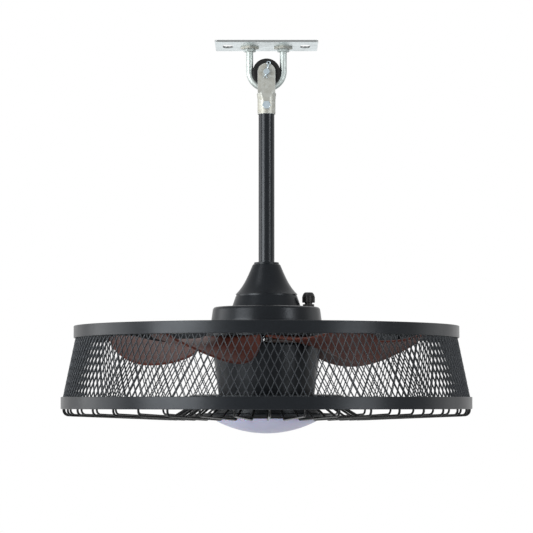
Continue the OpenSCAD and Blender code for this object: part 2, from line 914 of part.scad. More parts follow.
module cage_spider() {
    reach = top_in - fit_gap;
    color(graphite)
        difference() {
            union() {
                ring(flange_in, housing_r + 1, spider_z, arm_t);
                intersection() {
                    around(arm_count, housing_r - 2, 45)
                        union() {
                            translate([0, -arm_w / 2, spider_z])
                                cube([reach, arm_w, arm_t]);
                            translate([6, -3, spider_z + arm_t])
                                cube([reach - housing_r - 12, 6, 1.5]);
                        }
                    translate([0, 0, spider_z])
                        cylinder(h = 2 * arm_t, r = reach);
                }
                intersection() {
                    around(arm_count, housing_r, 45)
                        translate([0, -arm_w / 2, spider_z - arm_tab_h])
                            cube([reach, arm_w, arm_tab_h + 1]);
                    ring(reach - arm_t, reach, spider_z - arm_tab_h, arm_tab_h + 1);
                }
            }
            around(2 * arm_count, spider_screw_r, 90 / arm_count)
                translate([0, 0, spider_z - 1])
                    cylinder(h = arm_t + 2, d = 3 + 2 * fit_gap, $fn = 32);
        }
}

module spider_screws() {
    color(steel)
        around(2 * arm_count, spider_screw_r, 90 / arm_count)
            translate([0, 0, spider_z])
                union() {
                    cylinder(h = arm_t + housing_t, d = 3, $fn = 32);
                    translate([0, 0, -1.6])
                        cylinder(h = 1.6, d = 5, $fn = 32);
                }
}

module top_band() {
    color(graphite)
        ring(top_in, top_band_r, top_band_z, band_h);
}

module bottom_band() {
    color(graphite)
        ring(bottom_in, bottom_band_r, bottom_band_z, band_h);
}

// the expanded metal: joints where strands cross, with a diamond hole between four joints
module cage_mesh() {
    turns = 2 * mesh_count;
    rows = mesh_rows;
    step_h = (mesh_top_z - mesh_low_z) / rows;
    step_w = 360 / turns;
    mean_r = (mesh_top_r + mesh_low_r) / 2;
    slant = norm([step_h, mean_r * step_w * PI / 180]);
    side_cut = strand_w / 2 * slant / step_h;
    high_cut = strand_w / 2 * slant / (mean_r * step_w * PI / 180);
    // the four corners of a joint: right, up, left, down, on the outer and the inner face
    corners = [[side_cut, 0], [0, high_cut], [-side_cut, 0], [0, -high_cut]];
    function low(j, c) = j == 0 && c == 3 ? 0 : j == rows && c == 1 ? 0 : corners[c].y;
    points = [for (face = [0, 1], j = [0 : rows], i = [0 : mesh_count - 1], c = [0 : 3])
        let (z = mesh_low_z + j * step_h + low(j, c),
            outer = mixed(mesh_low_r, mesh_top_r, (z - mesh_low_z) / (mesh_top_z - mesh_low_z)),
            r = outer - face * mesh_t,
            a = (2 * i + j % 2) * step_w + corners[c].x / mean_r * 180 / PI)
            [r * cos(a), r * sin(a), z]];
    inside = (rows + 1) * mesh_count * 4;
    // joint number along a row: even rows start at 0, odd rows half a step on
    function joint(i, j, c) = ((j * mesh_count) + (i + mesh_count) % mesh_count) * 4 + c;
    function right_up(i, j) = j % 2 == 0 ? i : i + 1;
    function left_up(i, j) = j % 2 == 0 ? i - 1 : i;
    knots = [for (j = [0 : rows], i = [0 : mesh_count - 1], k = [0, 1])
        let (a = joint(i, j, 0), b = joint(i, j, 1), c = joint(i, j, 2), d = joint(i, j, 3))
            k == 0 ? [a, b, c] : [a, c, d]];
    rising = [for (j = [0 : rows - 1], i = [0 : mesh_count - 1], k = [0, 1])
        let (n = right_up(i, j), a = joint(i, j, 0), b = joint(n, j + 1, 3),
            c = joint(n, j + 1, 2), d = joint(i, j, 1))
            k == 0 ? [a, b, c] : [a, c, d]];
    falling = [for (j = [0 : rows - 1], i = [0 : mesh_count - 1], k = [0, 1])
        let (n = left_up(i, j), a = joint(i, j, 1), b = joint(n, j + 1, 0),
            c = joint(n, j + 1, 3), d = joint(i, j, 2))
            k == 0 ? [a, b, c] : [a, c, d]];
    faces_out = [for (f = concat(knots, rising, falling)) [f[2], f[1], f[0]]];
    faces_in = [for (f = faces_out) [f[2] + inside, f[1] + inside, f[0] + inside]];
    edges = concat(
        [for (j = [0 : rows - 1], i = [0 : mesh_count - 1])
            [joint(i, j, 0), joint(right_up(i, j), j + 1, 3)]],
        [for (j = [0 : rows - 1], i = [0 : mesh_count - 1])
            [joint(right_up(i, j), j + 1, 2), joint(i, j, 1)]],
        [for (j = [0 : rows - 1], i = [0 : mesh_count - 1])
            [joint(i, j, 1), joint(left_up(i, j), j + 1, 0)]],
        [for (j = [0 : rows - 1], i = [0 : mesh_count - 1])
            [joint(left_up(i, j), j + 1, 3), joint(i, j, 2)]],
        [for (i = [0 : mesh_count - 1], k = [0, 1])
            k == 0 ? [joint(i, 0, 2), joint(i, 0, 3)] : [joint(i, 0, 3), joint(i, 0, 0)]],
        [for (i = [0 : mesh_count - 1], k = [0, 1])
            k == 0 ? [joint(i, rows, 0), joint(i, rows, 1)] : [joint(i, rows, 1), joint(i, rows, 2)]]);
    walls = [for (e = edges, k = [0, 1])
        k == 0 ? [e[0], e[1], e[1] + inside] : [e[0], e[1] + inside, e[0] + inside]];
    color(graphite)
        polyhedron(points = points, faces = concat(faces_out, faces_in, walls));
}

// points of an arc in the local X-Y plane
function arc(centre, radius, from, to, steps) = [for (i = [0 : steps])
    let (a = mixed(from, to, i / steps)) centre + radius * [cos(a), sin(a)]];

// a six-sided wire along a path in the local X-Y plane, mitred at every point
module wire(path, d) {
    sides = 6;
    last = len(path) - 1;
    function way(i) = (path[i + 1] - path[i]) / norm(path[i + 1] - path[i]);
    points = [for (i = [0 : last], k = [0 : sides - 1])
        let (a = way(max(i - 1, 0)), b = way(min(i, last - 1)),
            mitre = (a + b) / (1 + a * b),
            out = cos(k * 360 / sides) * d / 2,
            side = sin(k * 360 / sides) * d / 2)
            [path[i].x - mitre.y * out, path[i].y + mitre.x * out, side]];
    walls = [for (i = [0 : last - 1], k = [0 : sides - 1])
        let (next = (k + 1) % sides)
            [i * sides + k, (i + 1) * sides + k, (i + 1) * sides + next, i * sides + next]];
    start = [for (k = [0 : sides - 1]) k];
    end = [for (k = [sides - 1 : -1 : 0]) last * sides + k];
    polyhedron(points = points, faces = concat(walls, [start, end]));
}

// one guard wire: down from the band, in along the bottom, up to the plate
module guard_wire() {
    turn = 90 - wire_slope;
    heel = wire_bend * tan(turn / 2);
    toe = wire_bend * tan((wire_slope + wire_rise) / 2);
    run = [-cos(wire_slope), -sin(wire_slope)];
    climb = [-cos(wire_rise), sin(wire_rise)];
    foot = [foot_r, foot_z];
    heel_centre = [wire_r - wire_bend, corner_z + heel];
    toe_centre = foot - run * toe + wire_bend * [run.y, -run.x];
    climb_len = (wire_end_z - foot_z) / sin(wire_rise);
    wire(concat([[wire_r, wire_top_z]],
        arc(heel_centre, wire_bend, 0, -turn, 3),
        arc(toe_centre, wire_bend, -90 + wire_slope, -90 - wire_rise, 2),
        [foot + climb * climb_len]), wire_d);
}

module guard_wires() {
    color([0.08, 0.08, 0.08])
        for (i = [0 : wire_count - 1])
            rotate([0, 0, (i + wire_phase) * 360 / wire_count])
                rotate([90, 0, 0])
                    guard_wire();
}

// the hoop that lies on the wires where they turn up
module guard_hoop() {
    hoop_r = foot_r + 5;
    hoop_z = foot_z + (hoop_r - foot_r) * tan(wire_slope) + wire_d - 0.05;
    color([0.08, 0.08, 0.08])
        translate([0, 0, hoop_z])
            rotate_extrude()
                translate([hoop_r, 0])
                    circle(d = wire_d, $fn = 32);
}

module guard_plate() {
    droop = 1.5;
    flat_r = guard_plate_r - 12;
    color(graphite)
        difference() {
            rotate_extrude()
                polygon([[inner_lip_r, lamp_low_z], [flat_r, lamp_low_z],
                    [guard_plate_r, lamp_low_z - droop],
                    [guard_plate_r, plate_low_z - droop], [flat_r, plate_low_z],
                    [inner_lip_r, plate_low_z]]);
            around(4, lamp_screw_r)
                translate([0, 0, plate_low_z - 1])
                    cylinder(h = guard_plate_t + 2, d = lamp_screw_d + 2 * fit_gap, $fn = 32);
        }
}

module lamp_housing() {
    inner = 2;
    arc = [for (a = [90 : -15 : 0])
        [lamp_top_r - lamp_round + lamp_round * cos(a), lamp_top_z - lamp_round + lamp_round * sin(a)]];
    color(graphite)
        difference() {
            rotate_extrude()
                polygon(concat([[shaft_d / 2 + fit_gap, lamp_top_z]], arc,
                    [[lamp_waist_r, lamp_low_z], [inner_lip_r, lamp_low_z],
                        [inner_lip_r, lamp_low_z + inner], [lamp_waist_r - inner, lamp_low_z + inner],
                        [lamp_top_r - inner, lamp_top_z - lamp_round],
                        [lamp_top_r - lamp_round, lamp_top_z - inner],
                        [shaft_d / 2 + fit_gap, lamp_top_z - inner]]));
            around(4, lamp_screw_r)
                translate([0, 0, lamp_low_z - 1])
                    cylinder(h = inner + 2, d = lamp_screw_d + 2 * fit_gap, $fn = 32);
        }
}

module lamp_base() {
    inner = base_r - base_t;
    hole = 20;
    color(graphite)
        difference() {
            rotate_extrude()
                polygon([[hole, plate_low_z], [base_r - 2, plate_low_z], [base_r, plate_low_z - 2],
                    [base_r, base_low_z], [trim_in, base_low_z], [trim_in, base_low_z + base_t],
                    [inner, base_low_z + base_t], [inner, plate_low_z - base_t],
                    [hole, plate_low_z - base_t]]);
            around(4, lamp_screw_r)
                translate([0, 0, plate_low_z - base_t - 1])
                    cylinder(h = base_t + 2, d = lamp_screw_d + 2 * fit_gap, $fn = 32);
        }
}

module lamp_screws() {
    color(steel)
        around(4, lamp_screw_r)
            translate([0, 0, plate_low_z - base_t])
                union() {
                    cylinder(h = base_t + guard_plate_t + 5, d = lamp_screw_d, $fn = 32);
                    translate([0, 0, -lamp_head_h])
                        cylinder(h = lamp_head_h, d = lamp_head_d, $fn = 32);
                }
}

module lamp_trim() {
    edge = 1.2;
    color(graphite)
        rotate_extrude()
            polygon([[trim_in, trim_low_z], [trim_r - edge, trim_low_z], [trim_r, trim_low_z + edge],
                [trim_r, base_low_z - edge], [trim_r - edge, base_low_z], [trim_in, base_low_z]]);
}

module led_board() {
    color("white")
        ring(21, board_r, board_low_z, board_t);
}

module led_chips() {
    chip = [3, 3, 0.8];
    color("khaki")
        union() {
            for (ring_r = [board_r - 8, board_r - 22])
                around(chip_count, ring_r)
                    translate([-chip.x / 2, -chip.y / 2, board_low_z - chip.z])
                        cube(chip);
        }
}

// a closed box with a lid flange, standing on the lamp base's top
module control_box(size, x) {
    foot = 4;
    union() {
        translate([x - size.x / 2, -size.y / 2, plate_low_z])
            cube(size);
        translate([x - size.x / 2, -size.y / 2 - foot, plate_low_z])
            cube([size.x, size.y + 2 * foot, 1.5]);
    }
}

module led_driver() {
    color("whitesmoke")
        control_box([30, 58, 22], -28);
}

module remote_receiver() {
    color("black")
        control_box([24, 50, 16], 28);
}

module diffuser() {
    dome_r = (diffuser_r * diffuser_r + dome_h * dome_h) / (2 * dome_h);
    centre_z = rim_low_z - dome_h + dome_r;
    half = asin(diffuser_r / dome_r);
    steps = 12;
    collar = trim_in - 0.2;
    inner_r = dome_r - diffuser_t;
    inner_half = asin((diffuser_r - diffuser_t) / inner_r);
    outside = [for (i = [0 : steps]) let (a = half * (1 - i / steps))
        [dome_r * sin(a), centre_z - dome_r * cos(a)]];
    inside = [for (i = [0 : steps]) let (a = inner_half * i / steps)
        [inner_r * sin(a), centre_z - inner_r * cos(a)]];
    color([0.8, 0.8, 0.92])
        rotate_extrude()
            polygon(concat([[diffuser_r, trim_low_z]], outside, inside,
                [[diffuser_r - diffuser_t, trim_low_z - diffuser_t],
                    [collar - diffuser_t, trim_low_z - diffuser_t], [collar - diffuser_t, base_low_z],
                    [collar, base_low_z], [collar, trim_low_z]]));
}

ceiling_plate();
u_bolt();
square_washers();
leg_nuts();
hanger_roller();
roller_bush();
shackle();
clevis_pin();
clevis_split_pin();
upper_rod_bolt();
upper_rod_nut();
downrod();
rod_collar();
canopy_cone();
neck_cover();
rod_coupling();
lower_rod_bolt();
lower_rod_nut();
coupling_screws();
motor_housing();
gland_body();
gland_locknut();
gland_seal();
gland_nut();
motor_shaft();
shaft_nut();
stator_core();
stator_windings();
bearing_inner_races();
bearing_balls();
bearing_outer_races();
rotor_bell();
rotor_magnets();
blade_hub();
blade(0);  // blade_1
blade(1);  // blade_2
blade(2);  // blade_3
blade(3);  // blade_4
blade(4);  // blade_5
blade_screws();
cage_spider();
spider_screws();
top_band();
cage_mesh();
bottom_band();
guard_wires();
guard_hoop();
guard_plate();
lamp_housing();
lamp_base();
lamp_screws();
lamp_trim();
led_board();
led_chips();
led_driver();
remote_receiver();
diffuser();
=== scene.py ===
import json
import math

import bmesh
import bpy
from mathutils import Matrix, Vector

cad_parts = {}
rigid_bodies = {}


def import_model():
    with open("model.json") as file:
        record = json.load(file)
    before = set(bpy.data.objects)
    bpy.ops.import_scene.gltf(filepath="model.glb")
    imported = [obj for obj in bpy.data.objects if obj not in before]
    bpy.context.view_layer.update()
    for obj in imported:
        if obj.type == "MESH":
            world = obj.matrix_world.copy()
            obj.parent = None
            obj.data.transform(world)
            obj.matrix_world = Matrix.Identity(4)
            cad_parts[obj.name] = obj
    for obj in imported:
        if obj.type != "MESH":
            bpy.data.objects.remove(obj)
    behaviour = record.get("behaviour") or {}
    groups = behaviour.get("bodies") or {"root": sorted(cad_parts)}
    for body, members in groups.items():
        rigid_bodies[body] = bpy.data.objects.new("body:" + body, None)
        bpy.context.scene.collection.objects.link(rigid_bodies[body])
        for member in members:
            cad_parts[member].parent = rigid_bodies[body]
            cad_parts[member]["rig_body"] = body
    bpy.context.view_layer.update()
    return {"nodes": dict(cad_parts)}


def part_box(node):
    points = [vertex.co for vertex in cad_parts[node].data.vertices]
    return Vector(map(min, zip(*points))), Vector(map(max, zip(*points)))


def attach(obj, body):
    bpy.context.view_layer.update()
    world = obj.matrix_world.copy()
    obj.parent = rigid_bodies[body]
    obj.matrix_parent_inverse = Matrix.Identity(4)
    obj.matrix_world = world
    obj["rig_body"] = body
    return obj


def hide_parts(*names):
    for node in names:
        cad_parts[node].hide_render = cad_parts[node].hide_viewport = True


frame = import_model()
nodes = frame["nodes"]
mm = 0.001
print("frame loaded:", len(nodes), "nodes")


# where the frame has its pieces, in millimetres
def lowOf(node):
    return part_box(node)[0].z / mm


def highOf(node):
    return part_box(node)[1].z / mm


def middleOf(node):
    low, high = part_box(node)
    return (low + high) / 2 / mm


# shader maths: a wrapped socket that can be added, multiplied and taken away
class Signal:
    def __init__(self, wiring, socket):
        self.wiring = wiring
        self.socket = socket

    def maths(self, operation, a, b):
        return self.wiring.node("ShaderNodeMath", {"operation": operation}, {0: a, 1: b})

    def __add__(self, other):
        return self.maths("ADD", self, other)

    __radd__ = __add__

    def __mul__(self, other):
        return self.maths("MULTIPLY", self, other)

    __rmul__ = __mul__

    def __sub__(self, other):
        return self.maths("SUBTRACT", self, other)

    def __rsub__(self, other):
        return self.maths("SUBTRACT", other, self)


# the nodes of a finish or of the world
class Wiring:
    def __init__(self, owner):
        owner.use_nodes = True
        self.tree = owner.node_tree

    # any node: its type, its settings, then the values or links of its sockets
    def node(self, kind, settings=None, values=None, output=0):
        made = self.tree.nodes.new(kind)
        for key, value in (settings or {}).items():
            if key == "stops":
                self.setStops(made.color_ramp, value)
            else:
                setattr(made, key, value)
        for key, value in (values or {}).items():
            if isinstance(value, Signal):
                self.link(value, made.inputs[key])
            else:
                made.inputs[key].default_value = value
        return Signal(self, made.outputs[output])

    def setStops(self, ramp, stops):
        while len(ramp.elements) < len(stops):
            ramp.elements.new(0.5)
        for element, (place, colour) in zip(ramp.elements, stops):
            element.position = place
            element.color = (*colour, 1)

    def link(self, signal, socket):
        self.tree.links.new(signal.socket, socket)


rimWearAndHighlight = {"samples": 4, "starts": 0.99, "full": 0.86}  # it starts and is full at these cosines


class Finish(Wiring):
    def __init__(self, name, colour, **surface):
        self.material = bpy.data.materials.new(name)
        super().__init__(self.material)
        self.shader = self.tree.nodes["Principled BSDF"]
        self.shader.inputs["Base Color"].default_value = (*colour, 1)
        for socketName, value in surface.items():
            self.shader.inputs[socketName.replace("_", " ")].default_value = value

    def place(self, stretch=(1, 1, 1), source="Object"):
        coordinates = self.node("ShaderNodeTexCoord", output=source)
        return self.node("ShaderNodeMapping", None, {"Vector": coordinates, "Scale": stretch})

    def noise(self, scale, detail=3, roughness=0.5, stretch=(1, 1, 1), source="Object", distortion=0):
        return self.node("ShaderNodeTexNoise", None, {"Vector": self.place(stretch, source), "Scale": scale,
                         "Detail": detail, "Roughness": roughness, "Distortion": distortion})

    # a signal from low to high brought to the range from dark to bright
    def spread(self, signal, low, high, dark=0, bright=1):
        return self.node("ShaderNodeMapRange", {"clamp": True},
                         {0: signal, 1: low, 2: high, 3: dark, 4: bright})

    def mix(self, factor, one, other):
        one = one if isinstance(one, Signal) else (*one, 1)
        other = other if isinstance(other, Signal) else (*other, 1)
        return self.node("ShaderNodeMix", {"data_type": "RGBA"}, {0: factor, 6: one, 7: other}, 2)

    # a mask of the rims, found by the angle between the face and a rounded normal; finishes lighten it as
    # painted highlight, and paint also as edge wear
    def rims(self, radius):
        rounding = self.node("ShaderNodeBevel", {"samples": rimWearAndHighlight["samples"]}, {"Radius": radius})
        face = self.node("ShaderNodeNewGeometry", output="Normal")
        likeness = self.node("ShaderNodeVectorMath", {"operation": "DOT_PRODUCT"},
                             {0: rounding, 1: face}, "Value")
        return self.spread(likeness, rimWearAndHighlight["starts"], rimWearAndHighlight["full"])

    def feed(self, socketName, signal):
        self.link(signal, self.shader.inputs[socketName])

    def colour(self, signal):
        self.feed("Base Color", signal)

    # from the glossiest to the dullest, as the signal grows
    def roughness(self, signal, bounds, low=0.3, high=0.7):
        self.feed("Roughness", self.spread(signal, low, high, *bounds))

    def bump(self, height, depth, strength):
        self.feed("Normal", self.node("ShaderNodeBump", None,
                                      {"Height": height, "Distance": depth, "Strength": strength}))


def toned(colour, factor):
    return [c * factor for c in colour]


# finishes: the scales of their noises count per metre, and rims and depths are in metres
paint = {"colour": (0.0034, 0.0042, 0.0054), "wornAndLitEdge": (0.055, 0.062, 0.07), "sheen": (0.88, 0.94, 1, 1),
         "grain": 680, "clouds": 26, "speckleRange": (0.42, 0.66), "speckle": 0.45, "bright": 2.4,
         "rim": 0.0009, "edgeWearAndHighlight": 0.12, "depth": 0.00012, "relief": 0.5}


def paintedMetal(name, gloss, roughness, edgeWearAndHighlight=paint["edgeWearAndHighlight"], depth=paint["depth"]):
    made = Finish(name, paint["colour"], Specular_IOR_Level=gloss, Specular_Tint=paint["sheen"])
    grain = made.noise(paint["grain"], detail=2)
    speckle = made.spread(grain, *paint["speckleRange"]) * paint["speckle"]
    tint = made.mix(speckle, paint["colour"], toned(paint["colour"], paint["bright"]))
    # rims lightened towards the worn colour: edge wear, and with a strong share a painted highlight on lit
    # edges
    made.colour(made.mix(made.rims(paint["rim"]) * edgeWearAndHighlight, tint, paint["wornAndLitEdge"]))
    made.roughness(made.noise(paint["clouds"], detail=4, roughness=0.6), roughness)
    made.bump(grain, depth, paint["relief"])
    return made.material


wirePaint = {"colour": (0.004, 0.0045, 0.005), "gloss": 0.15, "roughness": (0.24, 0.34), "grain": 900,
             "clouds": 60, "speckleRange": (0.4, 0.7), "bright": 1.8, "depth": 0.00001, "relief": 0.4}


def blackEnamel():
    made = Finish("blackWireEnamel", wirePaint["colour"], Specular_IOR_Level=wirePaint["gloss"])
    grain = made.noise(wirePaint["grain"], detail=2)
    made.colour(made.mix(made.spread(grain, *wirePaint["speckleRange"]), wirePaint["colour"],
                         toned(wirePaint["colour"], wirePaint["bright"])))
    made.roughness(made.noise(wirePaint["clouds"]), wirePaint["roughness"])
    made.bump(grain, wirePaint["depth"], wirePaint["relief"])
    return made.material


zinc = {"dull": 0.8, "warm": (0.4, 0.375, 0.3), "spangleAndRimHighlight": (0.7, 0.76, 0.78), "roughness": (0.42, 0.56),
        "clouds": 45, "cloudRange": (0.42, 0.7), "stains": 18, "stainRange": (0.45, 0.75),
        "spangle": 260, "sparkle": 0.14, "drag": 900, "dragStretch": (1, 1, 0.06), "dragShare": 0.4,
        "dullRange": (0.35, 0.65), "rim": 0.0008, "rimHighlightShare": 0.55, "flatRange": (0.3, 0.7),
        "depth": 0.00008, "relief": 0.35}


# zinc with clouds, stains, spangles and fine drag lines, painted highlights on its rims, and on a flat plate
# painted shade on the upright sides
def zincPlate(name, colour, metallic, warmth, roughness=zinc["roughness"], paintedSideShade=None):
    made = Finish(name, colour, Metallic=metallic)
    cloud = made.noise(zinc["clouds"], detail=5, roughness=0.65)
    stain = made.spread(made.noise(zinc["stains"]), *zinc["stainRange"])
    spangle = made.node("ShaderNodeTexVoronoi", {"feature": "F1"},
                        {"Vector": made.place(), "Scale": zinc["spangle"]}, "Color")
    spangleGrey = made.node("ShaderNodeSeparateColor", None, {0: spangle})
    drag = made.noise(zinc["drag"], detail=2, stretch=zinc["dragStretch"])
    base = made.mix(made.spread(cloud, *zinc["cloudRange"]), colour, toned(colour, zinc["dull"]))
    base = made.mix(stain * warmth, base, zinc["warm"])
    base = made.mix(spangleGrey * zinc["sparkle"], base, zinc["spangleAndRimHighlight"])
    # painted highlight: the rims lightened, as if they caught the lamps
    base = made.mix(made.rims(zinc["rim"]) * zinc["rimHighlightShare"], base, zinc["spangleAndRimHighlight"])
    # painted shade: upright sides darker than the faces that point up and down
    if paintedSideShade:
        face = made.node("ShaderNodeNewGeometry", output="Normal")
        upward = made.node("ShaderNodeSeparateXYZ", None, {0: face}, "Z")
        base = made.mix(made.spread(upward * upward, *zinc["flatRange"]), paintedSideShade, base)
    made.colour(base)
    made.roughness(cloud * (1 - zinc["dragShare"]) + drag * zinc["dragShare"], roughness, *zinc["dullRange"])
    made.bump(drag * zinc["dragShare"] + cloud, zinc["depth"], zinc["relief"])
    return made.material


wood = {"dark": (0.03, 0.0095, 0.007), "middle": (0.056, 0.0165, 0.0115), "light": (0.1, 0.031, 0.022),
        "stops": (0.25, 0.5, 0.78), "gloss": 0.08, "roughness": (0.45, 0.58),
        "lines": 260, "lineStretch": (0.05, 1, 1), "lineWaver": 0.6, "lineHeight": 0.5,
        "figure": 30, "figureStretch": (0.14, 1, 1), "figureWaver": 1.2, "figureShare": 0.45,
        "pores": 1500, "poreStretch": (0.03, 1, 1), "poreShade": 0.5, "shadeRange": (0.58, 0.75),
        "pitRange": (0.55, 0.75), "rim": 0.0012, "edgeHighlight": (0.3, 0.06, 0.038), "rimHighlightShare": 0.7,
        "depth": 0.00008, "relief": 0.4}


def bladeWood():
    made = Finish("brownBladeWood", wood["middle"], Specular_IOR_Level=wood["gloss"])
    lines = made.noise(wood["lines"], 4, 0.6, wood["lineStretch"], "UV", wood["lineWaver"])
    figure = made.noise(wood["figure"], 3, 0.6, wood["figureStretch"], "UV", wood["figureWaver"])
    pores = made.noise(wood["pores"], 2, 0.5, wood["poreStretch"], "UV")
    tones = list(zip(wood["stops"], (wood["dark"], wood["middle"], wood["light"])))
    grain = made.node("ShaderNodeValToRGB", {"stops": tones},
                      {0: lines * (1 - wood["figureShare"]) + figure * wood["figureShare"]})
    shaded = made.mix(made.spread(pores, *wood["shadeRange"]) * wood["poreShade"], grain, wood["dark"])
    # painted highlight: rims of the blade lightened to orange-red, as if they caught the light
    made.colour(made.mix(made.rims(wood["rim"]) * wood["rimHighlightShare"], shaded, wood["edgeHighlight"]))
    made.roughness(lines, wood["roughness"])
    pits = made.spread(pores, *wood["pitRange"])
    made.bump(lines * wood["lineHeight"] - pits, wood["depth"], wood["relief"])
    return made.material


plastic = {"grain": 1400, "clouds": 70, "cloudRange": (0.4, 0.7), "cloudShare": 0.5, "bright": 1.5,
           "lift": 0.004, "glossier": 0.06, "duller": 0.08, "gloss": 0.5, "depth": 0.00004, "relief": 0.5}


def moulded(name, colour, roughness, grain=plastic["grain"], depth=plastic["depth"], gloss=plastic["gloss"]):
    made = Finish(name, colour, Specular_IOR_Level=gloss)
    cloud = made.noise(plastic["clouds"])
    made.colour(made.mix(made.spread(cloud, *plastic["cloudRange"]) * plastic["cloudShare"], colour,
                         [min(1, c * plastic["bright"] + plastic["lift"]) for c in colour]))
    made.roughness(cloud, (roughness - plastic["glossier"], roughness + plastic["duller"]))
    made.bump(made.noise(grain, detail=2), depth, plastic["relief"])
    return made.material


frosted = {"colour": (0.43, 0.44, 0.61), "pale": (0.47, 0.48, 0.65), "roughness": (0.35, 0.45),
           "scatter": 0.25, "scatterDepth": 0.004, "clouds": 30, "cloudRange": (0.4, 0.6), "haze": 900,
           "grain": 1200, "depth": 0.00003, "relief": 0.4}


def frostedAcrylic():
    made = Finish("frostedAcrylic", frosted["colour"], Subsurface_Weight=frosted["scatter"],
                  Subsurface_Scale=frosted["scatterDepth"])
    cloud = made.noise(frosted["clouds"])
    made.colour(made.mix(made.spread(cloud, *frosted["cloudRange"]), frosted["colour"], frosted["pale"]))
    made.roughness(made.noise(frosted["haze"], detail=2), frosted["roughness"])
    made.bump(made.noise(frosted["grain"], detail=2), frosted["depth"], frosted["relief"])
    return made.material


lathe = {"rings": 1400, "ringStretch": (0.05, 0.05, 1), "ringRange": (0.35, 0.65), "dark": 0.72,
         "glossier": 0.08, "duller": 0.1, "depth": 0.00006, "relief": 0.4}


def turnedMetal(name, colour, roughness):
    made = Finish(name, colour, Metallic=1.0)
    rings = made.noise(lathe["rings"], detail=2, stretch=lathe["ringStretch"])
    made.colour(made.mix(made.spread(rings, *lathe["ringRange"]), colour, toned(colour, lathe["dark"])))
    made.roughness(rings, (roughness - lathe["glossier"], roughness + lathe["duller"]))
    made.bump(rings, lathe["depth"], lathe["relief"])
    return made.material


graphite = paintedMetal("graphiteEnamel", 0.17, (0.28, 0.34))
graphiteSatin = paintedMetal("satinGraphiteEnamel", 0.19, (0.24, 0.3), depth=0.00003)
# a strong share of the lightened rims: painted highlight that makes the strands look lit
graphiteNet = paintedMetal("netGraphiteEnamel", 0.28, (0.4, 0.5), edgeWearAndHighlight=0.8)
wireBlack = blackEnamel()
zincBright = zincPlate("zincPlating", (0.32, 0.36, 0.35), 0.7, 0.12)
# the pale colour on the faces that point up and down is a painted reflection of the white floor; the upright
# sides carry painted shade
zincPale = zincPlate("paleZincSheet", (0.82, 0.9, 0.92), 0.8, 0.05, (0.32, 0.42), paintedSideShade=(0.2, 0.21, 0.21))
zincWarm = zincPlate("pressedZinc", (0.275, 0.278, 0.25), 0.65, 0.6, (0.46, 0.58))
zincBlue = zincPlate("blueZincHardware", (0.4, 0.48, 0.53), 0.9, 0.04, (0.14, 0.26))
zincDark = zincPlate("blackenedZinc", (0.05, 0.05, 0.05), 0.3, 0.2)
bladeBrown = bladeWood()
rubber = moulded("blackRubber", (0.006, 0.006, 0.006), 0.6, grain=800, depth=0.0001, gloss=0.2)
nylon = moulded("blackNylon", (0.006, 0.006, 0.0065), 0.4, gloss=0.25)
acrylic = frostedAcrylic()
bronze = turnedMetal("bushBronze", (0.55, 0.4, 0.2), 0.4)
steel = turnedMetal("machinedSteel", (0.55, 0.56, 0.57), 0.32)
lamination = turnedMetal("coreLamination", (0.2, 0.21, 0.22), 0.5)
copper = turnedMetal("enamelledCopper", (0.75, 0.3, 0.14), 0.35)
ferrite = moulded("magnetFerrite", (0.05, 0.05, 0.052), 0.6, grain=700)
boardWhite = moulded("boardMask", (0.78, 0.78, 0.76), 0.3)
phosphor = moulded("chipPhosphor", (0.8, 0.66, 0.16), 0.35)
casing = moulded("driverCase", (0.72, 0.72, 0.7), 0.42)
print("finishes made")


# an object of a mesh, in the scene and with its finish
def newObject(name, mesh, finish):
    made = bpy.data.objects.new(name, mesh)
    bpy.context.scene.collection.objects.link(made)
    mesh.materials.clear()
    mesh.materials.append(finish)
    return made


# the piece moves on its node's body and takes the node's place
def standFor(made, node):
    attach(made, nodes[node]["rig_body"])
    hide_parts(node)


# smooth faces with sharp edges, where flat faces keep their own direction beside rounded edges
def shadeEvenly(made, sharpAngle):
    made.data.shade_smooth()
    made.data.set_sharp_from_angle(angle=math.radians(sharpAngle))
    even = made.modifiers.new("evenShading", "WEIGHTED_NORMAL")
    even.keep_sharp = True


def addBevel(target, width, segments=2, angle=30):
    edge = target.modifiers.new("edge", "BEVEL")
    edge.width = width * mm
    edge.segments = segments
    edge.limit_method = "ANGLE"
    edge.angle_limit = math.radians(angle)


# a new piece from points in millimetres and faces
def piece(name, shape, node, finish, sharpAngle=38):
    points, faces = shape
    mesh = bpy.data.meshes.new(name)
    mesh.from_pydata([[c * mm for c in p] for p in points], [], faces)
    mesh.validate()
    built = bmesh.new()
    built.from_mesh(mesh)
    bmesh.ops.recalc_face_normals(built, faces=built.faces)
    built.to_mesh(mesh)
    built.free()
    made = newObject(name, mesh, finish)
    shadeEvenly(made, sharpAngle)
    standFor(made, node)
    return made


# a CAD node's own shape with its edges broken and a finish, in place of the node
dressing = {"merge": 0.00001, "flatAngle": 1, "sharpAngle": 40}


def dressed(node, finish, edge=0.3, segments=2):
    mesh = nodes[node].data.copy()
    built = bmesh.new()
    built.from_mesh(mesh)
    bmesh.ops.remove_doubles(built, verts=built.verts, dist=dressing["merge"])
    bmesh.ops.dissolve_limit(built, angle_limit=math.radians(dressing["flatAngle"]), verts=built.verts,
                             edges=built.edges)
    built.to_mesh(mesh)
    built.free()
    made = newObject(node + "Dressed", mesh, finish)
    if edge:
        addBevel(made, edge, segments)
    shadeEvenly(made, dressing["sharpAngle"])
    standFor(made, node)


# a plain CAD node that stays, with its finish
def keep(node, finish):
    nodes[node].data.materials.clear()
    nodes[node].data.materials.append(finish)


# points of an arc round a centre, from one angle to another
def arc(centre, radius, start, end, steps):
    angles = [start + (end - start) * k / steps for k in range(steps + 1)]
    return [(centre[0] + radius * math.cos(a), centre[1] + radius * math.sin(a)) for a in angles]


